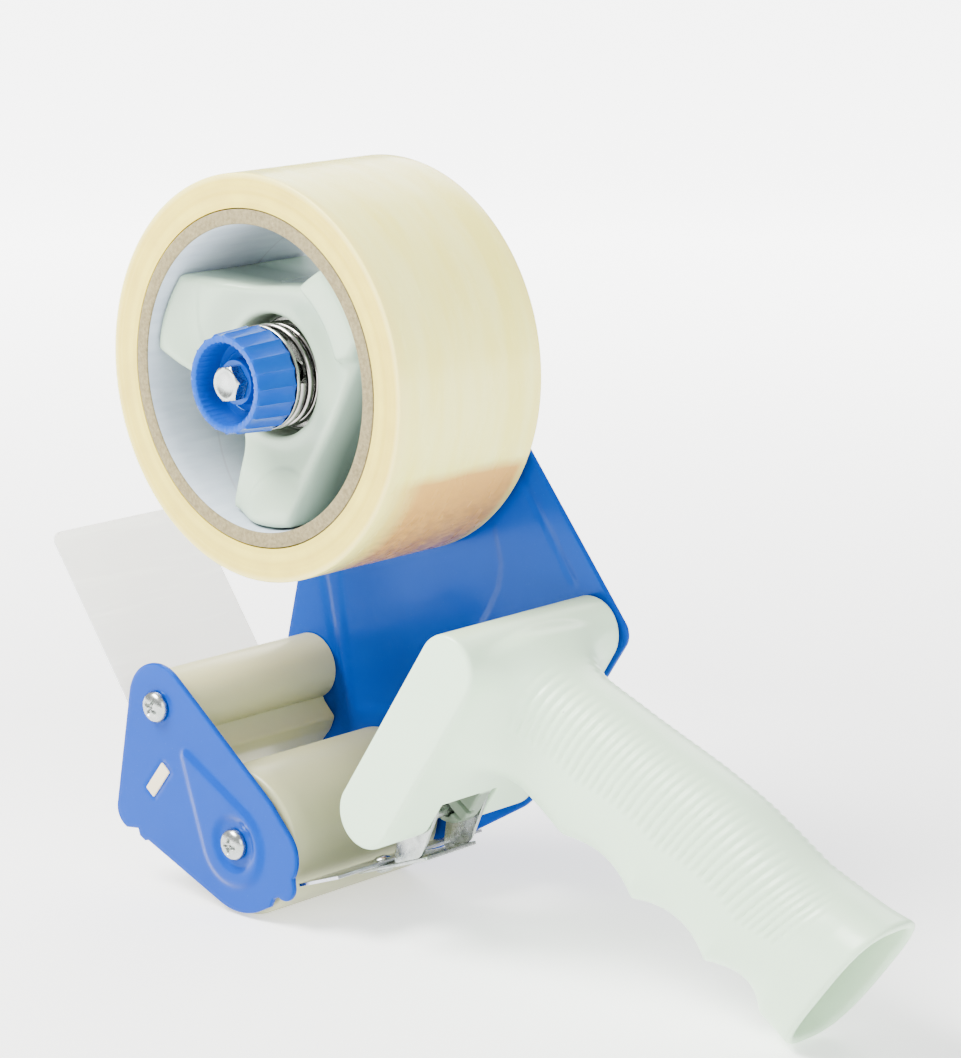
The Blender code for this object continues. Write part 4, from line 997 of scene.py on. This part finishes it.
def coil(axis, radius, start, end, turns, steps, first=0.0):
    """Points of a coil about an axis along Y, from y = start to y = end."""
    total = int(turns * steps)
    points = []
    for i in range(total + 1):
        angle = first + 2 * math.pi * i / steps
        y = start + (end - start) * i / total
        points.append((axis[0] + radius * math.cos(angle), y, axis[1] + radius * math.sin(angle)))
    return points


def build_brake():
    skin = tube(coil(HUB, 12.2, -11.55, -19.75, 3, 96), 0.95, 14)
    spring = piece("brake_coil", skin, [SPRING_STEEL], "frame", ["brake_spring"], 50)
    low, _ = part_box("brake_spring")
    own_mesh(spring)
    seat = [(2.92, -10.2), (3.0, -10.3), (13.9, -10.3), (14.2, -10.1), (14.2, -9.5), (13.9, -9.3),
            (3.0, -9.3), (2.92, -9.4)]
    skin = turned(seat, HUB, 96, closed=True)
    piece("seat_washer", skin, [WASHER_ZINC], "tape_reel", ["spring_seat_washer"], 30)
    low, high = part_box("thrust_washer")
    near, far = low.y / MM, high.y / MM
    thrust = [(2.92, near + 0.1), (3.1, near), (12.8, near), (13.0, near + 0.15), (13.0, far - 0.15),
              (12.8, far), (3.1, far), (2.92, far - 0.1)]
    skin = turned(thrust, HUB, 96, closed=True)
    piece("thrust_ring", skin, [WASHER_ZINC], "tension_slide", ["thrust_washer"], 30)


def build_knob():
    flutes = 20
    base = [(2.72, -22.1), (12.7, -22.1), (13.1, -22.3), (13.2, -22.7)]
    wall = [(13.2 - 0.7 * t, -22.7 - 10.6 * t) for t in (0.15, 0.3, 0.45, 0.6, 0.75, 0.9, 1.0)]
    mouth = [(12.42, -33.75), (12.2, -34.05), (11.85, -34.2), (10.75, -34.2), (10.4, -34.05), (10.2, -33.7),
             (10.05, -30.0), (9.95, -27.3), (9.7, -26.75), (9.3, -26.6), (7.9, -26.6), (7.7, -26.75),
             (7.5, -26.6), (6.1, -26.6), (5.75, -26.9)]
    boss = [(5.7, -27.6), (5.65, -30.0), (5.5, -30.4), (2.72, -30.4)]

    def shape(radius, y, angle):
        """Flutes on the outside, and a slightly ragged rim round the mouth."""
        if radius > 11.6:
            wave = abs(math.sin(flutes * angle / 2)) ** 0.7
            fade = float(ramp(radius, 11.8, 12.3))
            return radius - 0.55 * wave * fade, y
        if 10.1 < radius < 10.8:
            return radius - 0.22 * max(math.sin(flutes * 2 * angle), 0.0), y
        return radius, y

    skin = turned(base + wall + mouth + boss, HUB, 400, closed=True, shape=shape)
    piece("knob_moulding", skin, [BLUE_PLASTIC], "tension_knob", ["tension_knob"], 32)


# ---------------------------------------------------------------- flap

def build_flap():
    start, top = Vector((-86.6, 28.6)), Vector((-129.2, 87.2))
    half_width, corner, thickness = 25.0, 3.2, 0.5
    up = (top - start).normalized()
    length = (top - start).length
    outline = [(0.3, -half_width), (length - corner, -half_width)]
    outline += arc((length - corner, corner - half_width), corner, -90, 0, 10)[1:]
    outline += arc((length - corner, half_width - corner), corner, 0, 90, 10)
    outline += [(0.3, half_width)]

    def place(u, v, w):
        bow = 0.10 * math.cos(v / half_width * math.pi / 2) * max(0.0, (u - 10.0) / length)
        off = w - thickness / 2 - bow
        return (start.x + up.x * u - up.y * off, v, start.y + up.y * u + up.x * off)

    skin = sheet(divided(outline, 2.0), [], thickness, 0.12, 2.4, place)
    flap = piece("flap_film", skin, [FILM], "frame", ["flap_root", "clear_flap"], 60)
    # The flap is left without a parent, with its points baked where they stand.
    flap.parent = None
    flap.matrix_world = Matrix.Identity(4)
    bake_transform(flap)


# ---------------------------------------------------------------- handle

# The grip's upper and lower lines, where the ridges between the finger grooves are along it, and its ribs.
UPPER_LINE = [(15.0, 80.6), (36.5, 74.0), (60.8, 64.7), (84.0, 55.5), (106.4, 42.6), (120.5, 37.0),
              (129.6, 34.0)]
LOWER_LINE = [(6.0, 50.5), (22.0, 43.4), (39.3, 31.4), (58.5, 22.6), (77.8, 14.0), (93.0, 6.4), (103.8, 0.0)]
RIDGES = (0.285, 0.475, 0.665, 0.855)
GROOVE_DEPTH = 4.6
RIB_PITCH = 2.25
RIB_HEIGHT = 0.66
WALL = 2.9

# The open end's direction outwards, and the block's half thickness, half length and edge rounding.
MOUTH = (0.797, -0.605)
BLOCK_HALF = 8.7
BLOCK_REACH = 33.6
BLOCK_EDGE = 1.3

# Where the pockets of the notch reach up to along the block, and the slits in the wall between them.
NOTCH_TOP = -17.6
SLITS = (-24.8, -28.7)


def spline_point(points, t):
    """A point at t from 0 to 1 on a smooth curve through evenly timed points."""
    place = t * (len(points) - 1)
    i = max(min(int(math.floor(place)), len(points) - 2), 0)
    f = place - i
    p0, p1 = Vector(points[max(i - 1, 0)]), Vector(points[i])
    p2, p3 = Vector(points[i + 1]), Vector(points[min(i + 2, len(points) - 1)])
    return 0.5 * ((2 * p1) + (p2 - p0) * f + (2 * p0 - 5 * p1 + 4 * p2 - p3) * f**2
                  + (3 * p1 - p0 - 3 * p2 + p3) * f**3)


def groove(t):
    """How much of the groove's depth there is at t: 1 in the middle of a groove, 0 on a ridge."""
    for start, end in zip(RIDGES, RIDGES[1:]):
        if start < t < end:
            return math.sin(math.pi * (t - start) / (end - start)) ** 0.9
    return 0.0


def grip_table():
    """The grip's section along its length: middle, direction of its height, half sizes and squareness."""
    times = np.linspace(-0.06, 1.06, 281)
    rows = []
    for t in times:
        upper = spline_point(UPPER_LINE, t)
        lower = spline_point(LOWER_LINE, t)
        height = (upper - lower).normalized()
        lower = lower + height * GROOVE_DEPTH * groove(t)
        centre = (upper + lower) / 2
        flare = max((t - 0.75) / 0.25, 0.0) ** 2
        tall = (upper - lower).length / 2
        wide = 15.0 - 1.8 * min(max(t, 0.0) / 0.2, 1.0) + 0.4 * min(flare, 1.2)
        power = 2.4 + 0.4 * min(flare, 1)
        rows.append((centre.x, centre.y, height.x, height.y, tall, wide, power))
    table = np.array(rows)
    length = np.concatenate([[0], np.cumsum(np.hypot(np.diff(table[:, 0]), np.diff(table[:, 1])))])
    return times, table, length


def grip_places(x2, z2):
    """For a grid in X and Z: the place across the grip's height, its section there, how far along it is,
    and the distances past its open end and past its start."""
    times, table, length = grip_table()
    points = np.stack([x2.ravel(), z2.ravel()], axis=1)
    cx, cz, hx, hz = table[:, 0], table[:, 1], table[:, 2], table[:, 3]
    ahead_x, ahead_z = hz, -hx
    gaps = (points[:, 0, None] - cx) * ahead_x + (points[:, 1, None] - cz) * ahead_z
    away = np.abs((points[:, 0, None] - cx) * hx + (points[:, 1, None] - cz) * hz)
    score = np.abs(gaps) + 4 * np.maximum(away - table[:, 4] - 16, 0)
    best = score.argmin(axis=1)
    speed = np.gradient(cx, times) * ahead_x + np.gradient(cz, times) * ahead_z
    gap = gaps[np.arange(len(points)), best]
    step = times[1] - times[0]
    t = times[best] + np.clip(gap / np.maximum(speed[best], 20.0), -step, step)
    middle_x, middle_z, up_x, up_z, tall, wide, power = (np.interp(t, times, column) for column in table.T)
    across = (points[:, 0] - middle_x) * up_x + (points[:, 1] - middle_z) * up_z
    reach = np.interp(t, times, length)
    end = (points[:, 0] - np.interp(1.0, times, cx)) * MOUTH[0]
    end += (points[:, 1] - np.interp(1.0, times, cz)) * MOUTH[1]
    start_x, start_z = np.interp(0.0, times, cx), np.interp(0.0, times, cz)
    on_x, on_z = np.interp(0.0, times, ahead_x), np.interp(0.0, times, ahead_z)
    start = (points[:, 0] - start_x) * on_x + (points[:, 1] - start_z) * on_z
    values = (across, tall, wide, power, reach, end, start)
    return [value.reshape(x2.shape)[:, None, :].astype(np.float32) for value in values]


def rounded_section(across, y, tall, wide, power):
    """Signed distance, nearly, to a rounded rectangle's section."""
    a = np.abs(y) / wide + 1e-4
    b = np.abs(across) / tall + 1e-4
    total = (a ** power + b ** power) ** (1 / power)
    slope = total ** (1 - power) * np.sqrt((a ** (power - 1) / wide) ** 2 + (b ** (power - 1) / tall) ** 2)
    return (total - 1) / np.maximum(slope, 0.02)


def build_handle():
    step = 0.5
    corner = (-23.5, -28.25, -1.5)
    xs, ys, zs = (np.arange(low, high, step) for low, high in zip(corner, (131.6, 28.3, 88.1)))
    x2, z2 = np.meshgrid(xs, zs, indexing="ij")
    across, tall, wide, power, reach, end, start = grip_places(x2, z2)
    y = ys[None, :, None].astype(np.float32)
    side = np.degrees(np.arctan2(across / tall, np.abs(y) / wide))
    band = ramp(side, 3, 8) * (1 - ramp(side, 46, 80))
    span = ramp(reach, 13.0, 19.0) * (1 - ramp(reach, 101.0, 107.0))
    valley = (0.5 + 0.5 * np.cos(2 * math.pi * reach / RIB_PITCH)) ** 2
    ribs = RIB_HEIGHT * band * span * (0.45 - valley)
    grip = rounded_section(across, y, tall, wide, power) - ribs
    grip = cut_back(grip, end + 0 * y, 1.6)
    grip = np.maximum(grip, -start)
    dx, dz = x2 - BLOCK[0], z2 - BLOCK[1]
    along = (dx * math.sin(LEAN) + dz * math.cos(LEAN)).astype(np.float32)[:, None, :]
    behind = (dx * math.cos(LEAN) - dz * math.sin(LEAN)).astype(np.float32)[:, None, :]
    straight = BLOCK_REACH - BLOCK_HALF
    w0 = np.hypot(along - np.clip(along, -straight, straight), behind) - BLOCK_HALF + BLOCK_EDGE
    w1 = np.abs(y) - BETWEEN + BLOCK_EDGE
    block = np.minimum(np.maximum(w0, w1), 0) + np.hypot(np.maximum(w0, 0), np.maximum(w1, 0)) - BLOCK_EDGE
    fillet = 0.5 + 15.0 * ramp(behind, -4.0, 6.0)
    body = merged(block, grip, fillet)
    body = cut_back(body, np.abs(y) - BETWEEN, 0.5)
    hollow = rounded_section(across, y, tall - WALL, wide - WALL, power + 0.6)
    hollow = np.maximum(hollow, 30.0 - reach)
    hollow = np.where(behind < 12, 5.0, hollow)
    body = cut_back(body, -hollow, 1.3)
    pocket = np.maximum(np.abs(y + 3.75) - 6.75, along - NOTCH_TOP)
    far_pocket = np.maximum(np.abs(y - 8.45) - 1.05, along - NOTCH_TOP)
    body = cut_back(body, -np.minimum(pocket, far_pocket), 0.35)
    for place in SLITS:
        slit = np.maximum(np.abs(along - place) - 0.5, np.abs(y - 3.0) - 1.6)
        slit = np.maximum(slit, np.abs(behind - 4.5) - 5.0)
        body = np.maximum(body, -slit)
    pin_hole = np.hypot(x2 - PIN[0], z2 - PIN[1])[:, None, :] - 1.8
    body = np.maximum(body, -np.maximum(pin_hole, np.abs(y + 0.5) - 13.8))
    verts, faces = surface(body, corner, step)
    verts[:, 2] = np.maximum(verts[:, 2], 0.0)
    piece("handle_moulding", (verts, faces), [HANDLE_PLASTIC], "frame", ["handle"], 50,
          closed=False)


# ---------------------------------------------------------------- blade

# The blade's middle plane: its slope, and the (x, z) of its toothed edge. Its rivets sit at these (u, v).
SLOPE = math.radians(20.5)
EDGE = (-37.0, 11.6)
RIVETS = {"near": (11.5, -6.0), "far": (11.5, 5.0)}


def on_blade(lift):
    """A place for sheet: u back from the blade's edge, v along it, and w above a level over its middle."""
    def place(u, v, w):
        h = lift + w
        x = EDGE[0] + u * math.cos(SLOPE) - h * math.sin(SLOPE)
        return (x, v, EDGE[1] + u * math.sin(SLOPE) + h * math.cos(SLOPE))
    return place


def build_blade():
    half_length, tooth = 26.0, 2.0
    outline = [(16.0, half_length), (16.0, -half_length)]
    for low in np.arange(-half_length, half_length, tooth).tolist():
        outline += [(1.25, low + 0.08), (1.1, low + 0.2), (0.05, low + 0.95), (0.05, low + 1.05),
                    (1.1, low + 1.8), (1.25, low + 1.92)]
    holes = [round_hole(place, 1.5) for place in RIVETS.values()]
    skin = sheet(outline, holes, 0.8, 0.06, 0.0, on_blade(-0.4))
    piece("toothed_blade", skin, [STRIP_STEEL], "blade_lever", ["blade"], 25)
    base = soften([(5.5, -9.9), (31.0, -9.9), (31.0, 8.9), (5.5, 8.9)], 1.0)
    strip = sheet(base, holes, 1.0, 0.2, 0.0, on_blade(-1.7))
    ear = soften([(-9.3, 21.2), (-3.4, 34.6), (-6.0, 36.8), (-9.4, 37.2), (-16.6, 31.8), (-18.6, 17.6)], 1.6)
    pin_hole = round_hole(PIN, 1.55, 24)
    near = sheet(ear, [pin_hole], 1.0, 0.2, 0.0, lambda u, v, w: (u, -9.9 + w, v))
    far = sheet(ear, [pin_hole], 1.0, 0.2, 0.0, lambda u, v, w: (u, 7.9 + w, v))
    skin = joined(strip, near, far)
    piece("bracket_pressing", skin, [ZINC], "blade_lever", ["blade_bracket"], 30)
    dome = [(0.0, 1.6), (0.7, 1.57), (1.3, 1.45), (1.8, 1.2), (2.15, 0.95), (2.3, 0.7), (1.2, 0.7),
            (1.2, -2.0), (2.1, -2.0), (1.9, -2.35), (1.5, -2.6), (0.0, -2.7)]
    upright, faces = turned(dome, (0.0, 0.0), 48)
    for label, (u, v) in RIVETS.items():
        skin = ([on_blade(0.0)(u + x, v + z, height) for x, height, z in upright], faces)
        piece("rivet_dome_" + label, skin, [ZINC], "blade_lever", ["blade_rivet_" + label], 30)


def build_bracket_spring():
    radius, start, end = 2.7, -8.1, -5.3
    points = [(PIN[0] - radius, start, PIN[1] - drop) for drop in (8.0, 4.0)]
    points += coil(PIN, radius, start, end, 3.5, 24, math.pi)
    points += [(PIN[0] + radius, end, PIN[1] + rise) for rise in (3.0, 5.5)]
    skin = tube(points, 0.35, 8)
    piece("lever_coil", skin, [SPRING_STEEL], "frame", ["bracket_spring"], 50)


def finish_cad_nodes():
    """Give the CAD nodes that are shown as they are their detailed materials."""
    looks = {"roller_axle": ZINC, "hub_post": ZINC, "bracket_pin": ZINC, "brake_washer": FELT}
    for node, look in looks.items():
        materials = frame["nodes"][node].data.materials
        materials.clear()
        materials.append(look)


# ---------------------------------------------------------------- stage

def build_stage():
    """A pale floor that glows away from the object, as a lit paper sweep does."""
    look = Look("floor")
    grain = look.levels(look.noise(3.0, 2.0), 0.3, 0.7)
    tone = look.blend(grain, (0.95, 0.95, 0.95), (0.96, 0.96, 0.96))
    x, y, _ = look.parts()
    squares = look.maths("ADD", look.maths("MULTIPLY", x, x), look.maths("MULTIPLY", y, y))
    glow = look.levels(look.maths("SQRT", squares), 0.25, 1.2, 0.9, 5.5)
    look.set(Base_Color=tone, Roughness=0.6, Emission_Color=(1.0, 1.0, 1.0), Emission_Strength=glow)
    mesh = bpy.data.meshes.new("floor")
    reach = 12.0
    corners = [(-reach, -reach, 0), (reach, -reach, 0), (reach, reach, 0), (-reach, reach, 0)]
    mesh.from_pydata(corners, [], [(0, 1, 2, 3)])
    mesh.materials.append(look.material)
    floor = bpy.data.objects.new("floor", mesh)
    bpy.context.scene.collection.objects.link(floor)


def add_area(name, place, target, size, power, colour=(1.0, 1.0, 1.0)):
    """A rectangular lamp at a place, in metres, turned to its target."""
    light = bpy.data.lights.new(name, "AREA")
    light.shape = "RECTANGLE"
    light.size, light.size_y = size
    light.energy = power
    light.color = colour
    obj = bpy.data.objects.new(name, light)
    bpy.context.scene.collection.objects.link(obj)
    obj.location = place
    obj.rotation_euler = (Vector(target) - Vector(place)).to_track_quat("-Z", "Y").to_euler()


def build_lights():
    world = bpy.data.worlds.new("studio")
    bpy.context.scene.world = world
    world.use_nodes = True
    background = world.node_tree.nodes["Background"]
    background.inputs["Color"].default_value = (1.0, 1.0, 1.0, 1.0)
    background.inputs["Strength"].default_value = 0.85
    middle = (0.0, 0.0, 0.08)
    add_area("key", (-0.45, -0.60, 1.00), middle, (0.7, 0.55), 50.0, (1.0, 0.985, 0.96))
    add_area("fill", (1.1, -0.5, 0.55), middle, (0.8, 0.7), 11.0, (0.97, 0.985, 1.0))
    add_area("rim", (-0.5, 0.9, 0.7), middle, (0.8, 0.6), 9.0)


def build_camera():
    """A long lens, a little above the tool and in front of its near side."""
    camera = bpy.data.cameras.new("camera")
    camera.lens = 122.2
    camera.sensor_width = 36.0
    camera.clip_start = 0.01
    obj = bpy.data.objects.new("camera", camera)
    bpy.context.scene.collection.objects.link(obj)
    right = Vector((0.7313, 0.682, -0.0005)).normalized()
    back = Vector((0.6647, -0.7126, 0.2245)).normalized()
    up = back.cross(right).normalized()
    right = up.cross(back)
    matrix = Matrix((right, up, back)).transposed().to_4x4()
    matrix.translation = Vector((0.5792 + DRAWING_X, -0.6190, 0.2998))
    obj.matrix_world = matrix
    bpy.context.scene.camera = obj


build_camera()
build_lights()
build_stage()
build_plates()
build_screws()
build_bolt_and_nut()
build_guide()
build_roller()
build_tape()
build_hub()
build_brake()
build_knob()
build_flap()
build_handle()
build_blade()
build_bracket_spring()
finish_cad_nodes()
